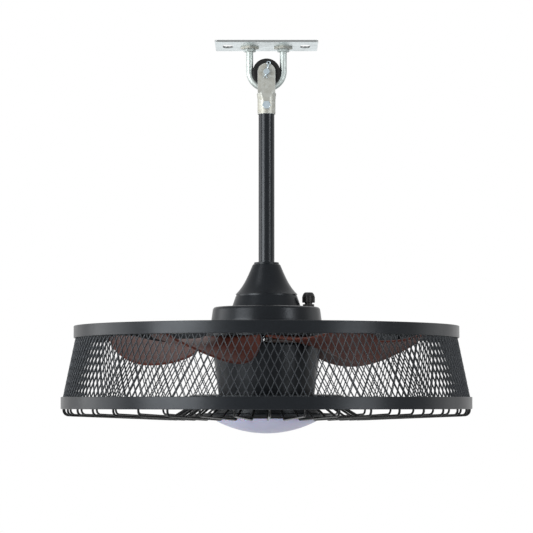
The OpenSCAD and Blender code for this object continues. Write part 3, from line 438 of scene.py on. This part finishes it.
# corners of an outline rounded: each point is (x, y) or (x, y, radius)
def rounded(outline, steps=5, closed=True):
    count = len(outline)
    shape = []
    for i, point in enumerate(outline):
        here = Vector(point[:2])
        radius = point[2] if len(point) > 2 else 0
        if radius == 0 or (not closed and i in (0, count - 1)):
            shape.append(here)
            continue
        back = (Vector(outline[i - 1][:2]) - here).normalized()
        ahead = (Vector(outline[(i + 1) % count][:2]) - here).normalized()
        half = back.angle(ahead) / 2
        reach = radius / math.tan(half)
        centre = here + (back + ahead).normalized() * (radius / math.sin(half))
        start = here + back * reach - centre
        end = here + ahead * reach - centre
        turn = math.atan2(start.x * end.y - start.y * end.x, start.dot(end))
        for k in range(steps + 1):
            a = turn * k / steps
            shape.append(centre + Vector((start.x * math.cos(a) - start.y * math.sin(a),
                                          start.x * math.sin(a) + start.y * math.cos(a))))
    return shape


# the outline of a ring, with its outer corners rounded below and above
def ringOutline(inner, outer, low, high, below, above, inside=0):
    return [(inner, low, inside), (outer, low, below), (outer, high, above), (inner, high, inside)]


# a closed outline turned about an upright axis; it may be a function that gives one for each angle
def turned(outline, sides, x=0):
    points = []
    for s in range(sides):
        a = 2 * math.pi * s / sides
        shape = outline(a) if callable(outline) else outline
        points.extend((x + p[0] * math.cos(a), p[0] * math.sin(a), p[1]) for p in shape)
    count = len(shape)
    faces = []
    for s in range(sides):
        t = (s + 1) % sides
        for k in range(count):
            n = (k + 1) % count
            faces.append((s * count + k, t * count + k, t * count + n, s * count + n))
    return points, faces


def turnedPiece(name, outline, node, finish, sides=160, steps=5, x=0):
    piece(name, turned(rounded(outline, steps), sides, x), node, finish)


# an outline in the plane of X and Z
def upright(outline):
    return [(p[0], 0, p[1]) for p in outline]


# a round tube along a path of points
def tube(path, radius, sides=12, closed=False):
    path = [Vector(p) for p in path]
    count = len(path)
    points = []
    faces = []
    side = None
    for i, here in enumerate(path):
        ahead = path[(i + 1) % count] if closed or i < count - 1 else here
        back = path[i - 1] if closed or i > 0 else here
        along = (ahead - back).normalized()
        if side is None:
            side = along.orthogonal().normalized()
        side = (side - along * side.dot(along)).normalized()
        other = along.cross(side)
        for k in range(sides):
            a = 2 * math.pi * k / sides
            points.append(here + radius * (math.cos(a) * side + math.sin(a) * other))
    for i in range(count if closed else count - 1):
        n = (i + 1) % count
        for k in range(sides):
            m = (k + 1) % sides
            faces.append((i * sides + k, i * sides + m, n * sides + m, n * sides + k))
    if not closed:
        faces.append(tuple(range(sides)))
        faces.append(tuple((count - 1) * sides + k for k in range(sides - 1, -1, -1)))
    return points, faces


# points turned about the fan's axis
def swung(points, turn):
    c = math.cos(turn)
    s = math.sin(turn)
    return [(c * p[0] - s * p[1], s * p[0] + c * p[1], p[2]) for p in points]


# a shape repeated at each of the turns, as one piece
def repeated(shape, turns):
    points = []
    faces = []
    for turn in turns:
        shift = len(points)
        points.extend(swung(shape[0], turn))
        faces.extend(tuple(i + shift for i in face) for face in shape[1])
    return points, faces


# the ceiling plate with its hook
hook = {"rod": 9.5, "legs": 46, "steps": 32, "sides": 24}


def hookPath():
    leg = hook["legs"] / 2
    top = highOf("u_bolt")
    bendZ = lowOf("u_bolt") + hook["rod"] / 2 + leg
    halfway = (top + bendZ) / 2
    bend = arc((0, bendZ), leg, math.pi, 2 * math.pi, hook["steps"])
    return upright([(-leg, top), (-leg, halfway)] + bend + [(leg, halfway), (leg, top)])


dressed("ceiling_plate", zincPale, 0.5)
piece("hookRod", tube(hookPath(), hook["rod"] / 2, hook["sides"]), "u_bolt", zincBright)
dressed("square_washers", zincWarm, 0.5)
dressed("leg_nuts", zincBright, 0.5)
print("ceiling plate and hook made")

# the roller in its shackle
roller = {"radius": 19, "groove": 16, "grooveRound": 6.2, "width": 15, "bore": 7, "hub": 2.5, "dish": 0.5,
          "rim": 1.2, "steps": 12, "sides": 72}


def rollerOutline():
    half = roller["width"] / 2
    hub = roller["bore"] + roller["hub"]
    face = [(roller["radius"], half - roller["rim"]), (roller["radius"] - roller["rim"], half),
            (hub + roller["dish"], half - roller["dish"]), (hub, half), (roller["bore"], half)]
    otherFace = [(r, -z) for r, z in reversed(face)]
    centre = roller["groove"] + roller["grooveRound"]
    reach = math.acos((centre - roller["radius"]) / roller["grooveRound"])
    groove = arc((centre, 0), roller["grooveRound"], math.pi + reach, math.pi - reach, roller["steps"])
    return otherFace + groove + face


# a turned shape with its axis laid along Y
def sideways(shape, z):
    points, faces = shape
    return [(p[0], p[2], z + p[1]) for p in points], faces


piece("hookRoller", sideways(turned(rollerOutline(), roller["sides"]), middleOf("hanger_roller").z),
      "hanger_roller", rubber)
dressed("roller_bush", bronze)
dressed("shackle", zincWarm, 0.5)
dressed("clevis_pin", zincBlue, 0.8, 3)
dressed("clevis_split_pin", zincBlue, 0)
for node in ["upper_rod_bolt", "lower_rod_bolt", "upper_rod_nut", "lower_rod_nut"]:
    dressed(node, zincBlue, 0.8, 3)
print("roller and shackle made")

# downrod
rod = {"radius": 10.85, "wall": 2, "corner": 0.4, "gap": 0.1, "sides": 72}
turnedPiece("downTube", ringOutline(rod["radius"] - rod["wall"], rod["radius"], lowOf("downrod"),
                                    highOf("downrod"), rod["corner"], rod["corner"]),
            "downrod", graphiteSatin, rod["sides"])
rodHole = rod["radius"] + rod["gap"]  # in what sits round the rod

# flared canopy, straight at the top and curling out below
canopy = {"top": 18.5, "base": 42.2, "straight": 17.6, "curl": 4, "wall": 1.8, "roof": 2, "roofSteps": 2,
          "edge": 0.6, "edgeOut": 0.2, "steps": 32, "sides": 128}
canopyHigh = highOf("canopy_cone")
canopyLow = lowOf("canopy_cone")


def canopyOutline():
    height = canopyHigh - canopyLow
    curled = canopy["base"] - canopy["top"] - canopy["straight"]
    flare = []
    for k in range(1, canopy["steps"] + 1):
        t = k / canopy["steps"]
        radius = canopy["top"] + canopy["straight"] * t + curled * t ** canopy["curl"]
        flare.append((radius, canopyHigh - height * t))
    roof = [(rodHole, canopyHigh), (canopy["top"] - canopy["edge"], canopyHigh),
            (canopy["top"] + canopy["edgeOut"], canopyHigh - canopy["edge"])]
    inside = [(r - canopy["wall"], z) for r, z in reversed(flare[canopy["roofSteps"]:])]
    return roof + flare + inside + [(rodHole, canopyHigh - canopy["roof"])]


piece("canopyFlare", turned(canopyOutline(), canopy["sides"]), "canopy_cone", graphite)

collar = {"radius": 17, "below": 0.3, "above": 0.9, "sides": 96}
turnedPiece("rodCollar", ringOutline(rodHole, collar["radius"], lowOf("rod_collar"), highOf("rod_collar"),
                                     collar["below"], collar["above"]),
            "rod_collar", graphite, collar["sides"])

# neck cover, from the canopy down to the motor housing
neck = {"top": 41.8, "base": 47, "wall": 1.5, "hole": 34, "seat": 41.2, "drop": 2.3, "topCorner": 0.4,
        "baseCorner": 0.2, "sides": 128}
headZ = highOf("motor_housing")
neckHigh = highOf("neck_cover")
neckTop = canopyLow - neck["drop"]
turnedPiece("neckShell", [
    (neck["hole"], neckTop - neck["wall"]), (neck["hole"], neckHigh), (neck["seat"], neckHigh),
    (neck["seat"], neckTop), (neck["top"], neckTop, neck["topCorner"]),
    (neck["base"], headZ, neck["baseCorner"]), (neck["base"] - neck["wall"], headZ),
    (neck["top"] - neck["wall"], neckTop - neck["wall"])],
    "neck_cover", graphite, neck["sides"])
print("downrod and canopy made")

# motor housing
drum = {"radius": 75, "taper": 2.4, "taperHeight": 17.5, "round": 4.5, "innerRound": 3, "bend": 12,
        "corner": 0.7, "wall": 2, "flange": 69, "bore": 7.6, "steps": 7, "sides": 192}
drumLow = lowOf("motor_housing")
shoulder = headZ - drum["taperHeight"]
drumTop = drum["radius"] - drum["taper"]
drumInside = drum["radius"] - drum["wall"]
turnedPiece("motorDrum", [
    (drum["bore"], headZ), (drumTop, headZ, drum["round"]), (drum["radius"], shoulder, drum["bend"]),
    (drum["radius"], drumLow, drum["corner"]), (drum["flange"], drumLow),
    (drum["flange"], drumLow + drum["wall"]), (drumInside, drumLow + drum["wall"]), (drumInside, shoulder),
    (drumTop - drum["wall"], headZ - drum["wall"], drum["innerRound"]), (drum["bore"], headZ - drum["wall"])],
    "motor_housing", graphite, drum["sides"], drum["steps"])

# cable gland: its body goes through the head of the housing
gland = {"flange": 7.85, "flangeHeight": 4, "flangeCorner": 0.6, "stem": 5.15, "stemHeight": 14,
         "thread": 6, "threadDepth": 4, "threadCorner": 0.3, "bore": 4.6, "sides": 64}
glandX = middleOf("gland_body").x
flangeZ = headZ + gland["flangeHeight"]
stemZ = headZ + gland["stemHeight"]
threadZ = headZ - gland["threadDepth"]

# the gland's nut: its dome is given in from its radius and down from its top
nut = {"radius": 8.3, "dome": [(0.15, 4.9), (0.5, 3.4), (1.4, 1.7), (2.4, 0.6), (3.2, 0)], "domeHeight": 5,
       "bore": 4.3, "lip": 0.3, "roof": 2, "gap": 0.1, "valley": 7.55, "ribs": 18, "rib": 1.1,
       "ribEase": 0.5, "lowLift": 0.35, "highLift": 0.2, "ribSides": 8}
nutLow = lowOf("gland_nut")
nutHigh = highOf("gland_nut")


# ribs at their full height between their two ends, and fading into the dome above
def nutOutline(angle):
    wave = nut["rib"] * max(0, math.cos(nut["ribs"] * angle)) ** 0.5
    domeZ = nutHigh - nut["domeHeight"]
    levels = [(nutLow, nut["lowLift"]), (nutLow + nut["ribEase"], 1), (domeZ - nut["ribEase"], 1),
              (domeZ, nut["highLift"])]
    ribbed = [(nut["valley"] + wave * lift, z) for z, lift in levels]
    dome = [(nut["radius"] - inward, nutHigh - down) for inward, down in nut["dome"]]
    roofZ = nutHigh - nut["roof"]
    threadHole = gland["stem"] + nut["gap"]
    inside = [(nut["bore"] + nut["lip"], nutHigh), (nut["bore"], nutHigh - nut["lip"]), (nut["bore"], roofZ),
              (threadHole, roofZ), (threadHole, nutLow)]
    return ribbed + dome + inside


piece("glandNut", turned(nutOutline, nut["ribs"] * nut["ribSides"], glandX), "gland_nut",
      nylon)
turnedPiece("glandBody", [
    (gland["bore"], threadZ), (gland["thread"], threadZ, gland["threadCorner"]), (gland["thread"], headZ),
    (gland["flange"], headZ), (gland["flange"], flangeZ, gland["flangeCorner"]), (gland["stem"], flangeZ),
    (gland["stem"], stemZ), (gland["bore"], stemZ)],
    "gland_body", nylon, gland["sides"], x=glandX)
dressed("gland_locknut", nylon, 0.2)
dressed("gland_seal", rubber)
print("motor housing and gland made")

# the motor inside
for node, finish in {"motor_shaft": steel, "rod_coupling": steel, "rotor_bell": steel,
                     "bearing_inner_races": steel, "bearing_outer_races": steel,
                     "bearing_balls": steel, "stator_core": lamination, "stator_windings": copper,
                     "rotor_magnets": ferrite, "shaft_nut": zincBright,
                     "coupling_screws": zincBright}.items():
    keep(node, finish)

# blades: both edges as points out, across and down from the hub
blade = {"count": 5, "phase": 20, "thickness": 3, "rim": 1.6, "rows": 66, "columns": 30,
         "camber": 3, "chord": 113.5, "flatSpans": 1, "easeSpans": 1.5,  # camber grows after the flat root
         "grainShift": (0.37, 0.61), "merge": 0.000002,
         "lead": [(44, -36, 0), (66, -52, 0), (84, -50.5, 2.5), (100, -50, 4), (116, -51.5, 4.5),
                  (133, -55, 5), (150, -58, 5), (168, -58, 4), (185, -55, 1.5), (199, -50, -2),
                  (210, -43, -4), (219, -33, -4.5), (224.5, -20, -4), (227, -1, -1.5)],
         "trail": [(52, 26, 0), (76, 41, 0), (81.5, 45, 12), (91.5, 47, 24), (107, 51, 31),
                   (122, 54, 35), (138, 56, 37), (153, 55.5, 37), (167, 52.5, 35), (181, 46.5, 31),
                   (194, 37.5, 25.5), (206, 27, 18.5), (217, 14, 11), (225.5, 2, 3)]}


# a smooth curve through an edge's points
def alongEdge(edge, share):
    spot = share * (len(edge) - 1)
    i = min(int(spot), len(edge) - 2)
    f = spot - i
    a, b, c, d = [Vector(edge[min(max(i + k, 0), len(edge) - 1)]) for k in (-1, 0, 1, 2)]
    return ((2 * b) + (c - a) * f + (2 * a - 5 * b + 4 * c - d) * f ** 2
            + (3 * b - a - 3 * c + d) * f ** 3) / 2


def clamped(value):
    return min(1, max(0, value))


# the surface midway between the two skins, in rows from hub to tip
def bladeMiddle():
    low = highOf("blade_1") - blade["thickness"] + min(p[2] for p in blade["lead"])
    rows = blade["rows"]
    columns = blade["columns"]
    spans = len(blade["lead"]) - 1
    middle = []
    for i in range(rows + 1):
        lead = alongEdge(blade["lead"], i / rows)
        trail = alongEdge(blade["trail"], i / rows)
        bent = clamped((i / rows * spans - blade["flatSpans"]) / blade["easeSpans"])
        for j in range(columns + 1):
            s = (1 - math.cos(math.pi * j / columns)) / 2
            p = lead + (trail - lead) * s
            bulge = blade["camber"] * (trail.y - lead.y) / blade["chord"] * 4 * s * (1 - s) * bent
            middle.append(Vector((p.x, p.y, low - p.z + bulge + blade["thickness"] / 2)))
    return middle


# share of the full thickness, from none at the edge round to all of it
def rimFactor(distance):
    return math.sqrt(1 - (1 - clamped(distance / blade["rim"])) ** 2)


# both skins of a blade that points along X, and the flat place of each point for the grain
def bladeShape():
    rows = blade["rows"]
    columns = blade["columns"]
    wide = columns + 1
    middle = bladeMiddle()

    def spot(i, j):
        return middle[min(max(i, 0), rows) * wide + min(max(j, 0), columns)]

    points = []
    for side in (1, -1):
        for i in range(rows + 1):
            for j in range(wide):
                p = spot(i, j)
                edgePoints = (spot(i, 0), spot(i, columns), spot(rows, j), spot(0, j))
                near = min((p - q).length for q in edgePoints)
                normal = (spot(i + 1, j) - spot(i - 1, j)).cross(spot(i, j + 1) - spot(i, j - 1)).normalized()
                points.append(p + normal * side * blade["thickness"] / 2 * rimFactor(near))
    lift = (rows + 1) * wide
    faces = []
    for i in range(rows):
        for j in range(columns):
            a = i * wide + j
            upper = (a, a + wide, a + wide + 1, a + 1)
            faces.append(upper)
            faces.append(tuple(corner + lift for corner in reversed(upper)))
    flat = [(p.x, p.y) for p in middle] * 2
    return points, faces, flat


def makeBlade(number, points, faces, flat):
    name = "blade_%d" % number
    turn = math.radians(blade["phase"] + 360 / blade["count"] * (number - 1))
    mesh = bpy.data.meshes.new(name + "Shaped")
    mesh.from_pydata([[c * mm for c in p] for p in swung(points, turn)], [], faces)
    layer = mesh.uv_layers.new(name="grain")
    for loop in mesh.loops:
        layer.data[loop.index].uv = [place * mm + number * shift for place, shift in
                                     zip(flat[loop.vertex_index], blade["grainShift"])]
    built = bmesh.new()
    built.from_mesh(mesh)
    bmesh.ops.remove_doubles(built, verts=built.verts, dist=blade["merge"])
    bmesh.ops.dissolve_degenerate(built, edges=built.edges, dist=blade["merge"])
    bmesh.ops.recalc_face_normals(built, faces=built.faces)
    built.to_mesh(mesh)
    built.free()
    mesh.shade_smooth()
    standFor(newObject(name + "Shaped", mesh, bladeBrown), name)


bladeParts = bladeShape()
for number in range(1, blade["count"] + 1):
    makeBlade(number, *bladeParts)
dressed("blade_hub", graphite, 0.4)
dressed("blade_screws", zincDark, 0.4)
print("blades made")

# bands of the cage
band = {"top": 261.5, "bottom": 278.5, "thickness": 2, "edge": 0.7, "innerEdge": 0.6, "steps": 3,
        "sides": 256}
for name, node, radius in [("topBand", "top_band", band["top"]),
                           ("bottomBand", "bottom_band", band["bottom"])]:
    turnedPiece(name, ringOutline(radius - band["thickness"], radius, lowOf(node), highOf(node),
                                  band["edge"], band["edge"], band["innerEdge"]),
                node, graphite, band["sides"], band["steps"])

# expanded metal: joints where the strands cross, each strand leaning a little
net = {"around": 168, "rows": 8, "strand": 1.04, "thickness": 1.7, "lean": 0.45, "edge": 0.22,
       "edgeAngle": 50, "sharpAngle": 30, "topRadius": 259.0, "lowRadius": 276.3}


def netShape():
    low = lowOf("cage_mesh")
    high = highOf("cage_mesh")
    rows = net["rows"]
    around = net["around"]
    stepHeight = (high - low) / rows
    stepAngle = math.pi / around
    radius = (net["topRadius"] + net["lowRadius"]) / 2
    stepWidth = radius * stepAngle
    slant = math.hypot(stepHeight, stepWidth)
    sideCut = net["strand"] / 2 * slant / stepHeight
    highCut = net["strand"] / 2 * slant / stepWidth
    # a joint's corners as across, up and out: right, above, left and below
    cuts = [(sideCut, 0, 0), (0, highCut, net["lean"]), (-sideCut, 0, 0), (0, -highCut, -net["lean"])]
    points = []
    for face in (0, 1):
        for j in range(rows + 1):
            for i in range(around):
                for c, (across, up, out) in enumerate(cuts):
                    if (j == 0 and c == 3) or (j == rows and c == 1):
                        up = 0
                    z = low + j * stepHeight + up
                    r = net["lowRadius"] + (net["topRadius"] - net["lowRadius"]) * (z - low) / (high - low)
                    r += min(0, out - net["lean"]) - face * net["thickness"]
                    a = (2 * i + j % 2) * stepAngle + across / radius
                    points.append((r * math.cos(a), r * math.sin(a), z))

    def corners(i, j):
        return [(j * around + i % around) * 4 + c for c in range(4)]

    faces = []
    walls = []
    for j in range(rows + 1):
        for i in range(around):
            right, above, left, below = corners(i, j)
            faces.append([right, above, left, below])
            if j == 0:
                walls += [(left, below), (below, right)]
            if j == rows:
                walls += [(right, above), (above, left)]
                continue
            rightwards = corners(i + j % 2, j + 1)
            leftwards = corners(i - 1 + j % 2, j + 1)
            faces.append([right, rightwards[3], rightwards[2], above])
            faces.append([above, leftwards[0], leftwards[3], left])
            walls += [(right, rightwards[3]), (rightwards[2], above), (above, leftwards[0]),
                      (leftwards[3], left)]
    back = (rows + 1) * around * 4
    rear = [[i + back for i in reversed(face)] for face in faces]
    sides = [[b, a, a + back, b + back] for a, b in walls]
    return points, faces + rear + sides


cageNet = piece("expandedMetal", netShape(), "cage_mesh", graphiteNet, net["sharpAngle"])
addBevel(cageNet, net["edge"], 1, net["edgeAngle"])
dressed("cage_spider", graphite, 0.5)
dressed("spider_screws", zincBright)
print("cage made")

# wire guard: wires from the lower band in to a foot, then up a slope to the plate above the lamp
guard = {"count": 39, "phase": 0.34, "radius": 1.5, "bend": 7, "bendSteps": 8, "slope": 2.3, "rise": 31,
         "foot": 132, "drop": 13.9, "weld": 4, "hoop": 137, "hoopSteps": 180, "sharpAngle": 60}
baseHigh = highOf("lamp_base")  # level with the underside of that plate


def guardPath():
    outer = band["bottom"] - band["thickness"] - guard["radius"]
    weldZ = highOf("bottom_band") - guard["weld"]
    footZ = lowOf("bottom_band") - guard["drop"]
    bendZ = footZ + (outer - guard["foot"]) * math.tan(math.radians(guard["slope"]))
    rise = math.radians(guard["rise"])
    topZ = baseHigh - guard["radius"] * math.cos(rise)
    end = guard["foot"] - (topZ - footZ) / math.tan(rise)
    corners = [(outer, weldZ), (outer, bendZ, guard["bend"]), (guard["foot"], footZ, guard["bend"]),
               (end, topZ)]
    return upright(rounded(corners, guard["bendSteps"], closed=False))


guardTurns = [math.radians((i + guard["phase"]) * 360 / guard["count"]) for i in range(guard["count"])]
piece("guardWires", repeated(tube(guardPath(), guard["radius"]), guardTurns), "guard_wires",
      wireBlack, guard["sharpAngle"])
hoopZ = middleOf("guard_hoop").z
hoopPath = [(x, y, hoopZ) for x, y in arc((0, 0), guard["hoop"], 0, 2 * math.pi, guard["hoopSteps"])[:-1]]
piece("guardHoop", tube(hoopPath, guard["radius"], closed=True), "guard_hoop", wireBlack,
      guard["sharpAngle"])

guardPlate = {"inner": 55, "flat": 93, "radius": 105, "thickness": 2, "droop": 1.5, "bend": 8, "edge": 0.6}
plateHigh = highOf("guard_plate")
brimHigh = plateHigh - guardPlate["droop"]
turnedPiece("guardPlate", [
    (guardPlate["inner"], plateHigh), (guardPlate["flat"], plateHigh, guardPlate["bend"]),
    (guardPlate["radius"], brimHigh, guardPlate["edge"]),
    (guardPlate["radius"], brimHigh - guardPlate["thickness"], guardPlate["edge"]),
    (guardPlate["flat"], plateHigh - guardPlate["thickness"], guardPlate["bend"]),
    (guardPlate["inner"], plateHigh - guardPlate["thickness"])], "guard_plate", graphite)
print("wire guard made")

# lamp housing and base
can = {"top": 74.3, "waist": 65.1, "round": 3, "innerRound": 2, "corner": 0.5, "wall": 2, "lip": 55,
       "bore": 7.6}
base = {"radius": 72, "round": 2, "wall": 2, "bore": 20}
trim = {"radius": 89, "inner": 66.4, "round": 1.4}
canHigh = highOf("lamp_housing")
canLow = lowOf("lamp_housing")
baseLow = lowOf("lamp_base")
trimLow = lowOf("lamp_trim")
turnedPiece("lampCan", [
    (can["bore"], canHigh), (can["top"], canHigh, can["round"]), (can["waist"], canLow, can["corner"]),
    (can["lip"], canLow), (can["lip"], canLow + can["wall"]),
    (can["waist"] - can["wall"], canLow + can["wall"]),
    (can["top"] - can["wall"], canHigh - can["wall"], can["innerRound"]),
    (can["bore"], canHigh - can["wall"])],
    "lamp_housing", graphite)
turnedPiece("lampBase", [
    (base["bore"], baseHigh), (base["radius"], baseHigh, base["round"]), (base["radius"], baseLow),
    (trim["inner"], baseLow), (trim["inner"], baseLow + base["wall"]),
    (base["radius"] - base["wall"], baseLow + base["wall"]),
    (base["radius"] - base["wall"], baseHigh - base["wall"]), (base["bore"], baseHigh - base["wall"])],
    "lamp_base", graphite)
turnedPiece("lampTrim", ringOutline(trim["inner"], trim["radius"], trimLow, baseLow, trim["round"],
                                    trim["round"]),
            "lamp_trim", graphite)

# diffuser: a shallow dome with a collar that goes up through the trim
diffuser = {"radius": 70, "dome": 17.8, "wall": 2, "pole": 0.4, "shoulder": 1, "rim": 0.4, "rimIn": 0.3,
            "seatGap": 0.02, "collarGap": 0.2, "steps": 24, "sides": 128, "sharpAngle": 50}


def diffuserOutline():
    radius = diffuser["radius"]
    wall = diffuser["wall"]
    bottom = lowOf("diffuser")
    sphere = (radius ** 2 + diffuser["dome"] ** 2) / (2 * diffuser["dome"])
    centre = (0, bottom + sphere)
    down = -math.pi / 2
    outside = arc(centre, sphere, down + math.asin(radius / sphere), down, diffuser["steps"])
    inner = sphere - wall
    inside = arc(centre, inner, down, down + math.asin((radius - wall) / inner), diffuser["steps"])
    seat = trimLow - diffuser["seatGap"]
    collar = trim["inner"] - diffuser["collarGap"]
    edge = [(radius - diffuser["rimIn"], seat), (radius, trimLow - diffuser["rim"]),
            (radius, bottom + diffuser["dome"] + diffuser["shoulder"])]
    pole = [(diffuser["pole"], bottom), (diffuser["pole"], bottom + wall)]
    collarWall = [(radius - wall, trimLow - wall), (collar - wall, trimLow - wall),
                  (collar - wall, baseLow), (collar, baseLow), (collar, seat)]
    return edge + outside[1:-1] + pole + inside[1:] + collarWall


piece("lampDiffuser", turned(diffuserOutline(), diffuser["sides"]), "diffuser", acrylic,
      diffuser["sharpAngle"])
for node, finish in {"led_board": boardWhite, "led_chips": phosphor, "led_driver": casing,
                     "remote_receiver": nylon, "lamp_screws": zincBright}.items():
    keep(node, finish)
print("lamp made")

# floor far below the ceiling, and the world, both white to the camera
studio = {"floor": -4.5, "half": 12, "ambient": 0.27, "paper": (0.86, 0.86, 0.86), "paperRoughness": 0.9,
          "fade": (2.5, 8), "nearWhite": 0.9, "white": (1, 1, 1, 1)}


# 1 for the rays that the camera sees straight, in a mirror or through something
def whiteRays(wiring):
    camera, glossy, through = [wiring.node("ShaderNodeLightPath", output="Is %s Ray" % kind)
                               for kind in ("Camera", "Glossy", "Transmission")]
    return wiring.node("ShaderNodeClamp", None, {0: camera + glossy + through})


def makeFloor():
    half = studio["half"]
    mesh = bpy.data.meshes.new("studioFloor")
    mesh.from_pydata([(-half, -half, studio["floor"]), (half, -half, studio["floor"]),
                      (half, half, studio["floor"]), (-half, half, studio["floor"])], [], [(0, 1, 2, 3)])
    paper = Finish("floorPaper", studio["paper"], Roughness=studio["paperRoughness"])
    shaded = Signal(paper, paper.shader.outputs[0])
    glow = paper.node("ShaderNodeEmission", None, {"Color": studio["white"], "Strength": 1.0})
    distance = paper.node("ShaderNodeVectorMath", {"operation": "LENGTH"},
                          {0: paper.node("ShaderNodeTexCoord", output="Object")}, "Value")
    whiteness = paper.spread(distance, *studio["fade"], studio["nearWhite"], 1)
    mixed = paper.node("ShaderNodeMixShader", None, {0: whiteRays(paper) * whiteness, 1: shaded, 2: glow})
    paper.link(mixed, paper.tree.nodes["Material Output"].inputs["Surface"])
    newObject("studioFloor", mesh, paper.material)


def makeWorld():
    world = bpy.data.worlds.new("studioWorld")
    bpy.context.scene.world = world
    sky = Wiring(world)
    background = sky.tree.nodes["Background"]
    background.inputs["Color"].default_value = studio["white"]
    background.inputs["Strength"].default_value = studio["ambient"]
    ambient = Signal(sky, background.outputs[0])
    white = sky.node("ShaderNodeBackground", None, {"Color": studio["white"], "Strength": 1.0})
    mixed = sky.node("ShaderNodeMixShader", None, {0: whiteRays(sky), 1: ambient, 2: white})
    sky.link(mixed, sky.tree.nodes["World Output"].inputs["Surface"])


# softboxes in metres and watts; each faces the fan's axis at a height
softboxes = {
    "keyLeft": {"spot": (-1.99, -1.67, -0.2), "faces": -0.35, "size": (1.55, 1.1), "power": 74},
    "sideLeft": {"spot": (-2.56, 0.45, -0.2), "faces": -0.35, "size": (1.8, 1.1), "power": 24},
    "fillRight": {"spot": (2.07, -1.74, -0.6), "faces": -0.35, "size": (0.95, 0.7), "power": 19},
    "sideRight": {"spot": (2.5, 0.9, -0.2), "faces": -0.35, "size": (1.2, 1.3), "power": 4},
    "topLeft": {"spot": (-1.3, -0.9, 1.5), "faces": -0.35, "size": (0.8, 0.8), "power": 7},
    "topBack": {"spot": (0.2, 1.4, 1.3), "faces": -0.35, "size": (1.6, 1.0), "power": 8},
    "underLeft": {"spot": (-0.5, -1.2, -1.45), "faces": -0.45, "size": (1.4, 1.0), "power": 7},
    "hookRight": {"spot": (2.07, -1.74, 0.35), "faces": -0.08, "size": (0.7, 0.5), "power": 18},
}


def makeSoftbox(name, box):
    light = bpy.data.lights.new(name, "AREA")
    light.shape = "RECTANGLE"
    light.size, light.size_y = box["size"]
    light.energy = box["power"]
    made = bpy.data.objects.new(name, light)
    made.location = box["spot"]
    facing = Vector((0, 0, box["faces"])) - Vector(box["spot"])
    made.rotation_euler = facing.to_track_quat("-Z", "Y").to_euler()
    bpy.context.scene.collection.objects.link(made)


makeFloor()
makeWorld()
for name, box in softboxes.items():
    makeSoftbox(name, box)

# the photograph's camera: focal length and frame in pixels, the rest in metres, millimetres and degrees
view = {"focal": 2350, "frame": 533, "sensor": 36, "distance": 3.196, "height": -0.4889, "pitch": 3.3}
sight = bpy.data.cameras.new("photoCamera")
sight.sensor_width = view["sensor"]
sight.lens = view["focal"] / view["frame"] * view["sensor"]
camera = bpy.data.objects.new("photoCamera", sight)
camera.location = (0, -view["distance"], view["height"])
camera.rotation_euler = (math.radians(90 + view["pitch"]), 0, 0)
bpy.context.scene.collection.objects.link(camera)
bpy.context.scene.camera = camera
bpy.context.scene.view_settings.view_transform = "Standard"
print("studio made")
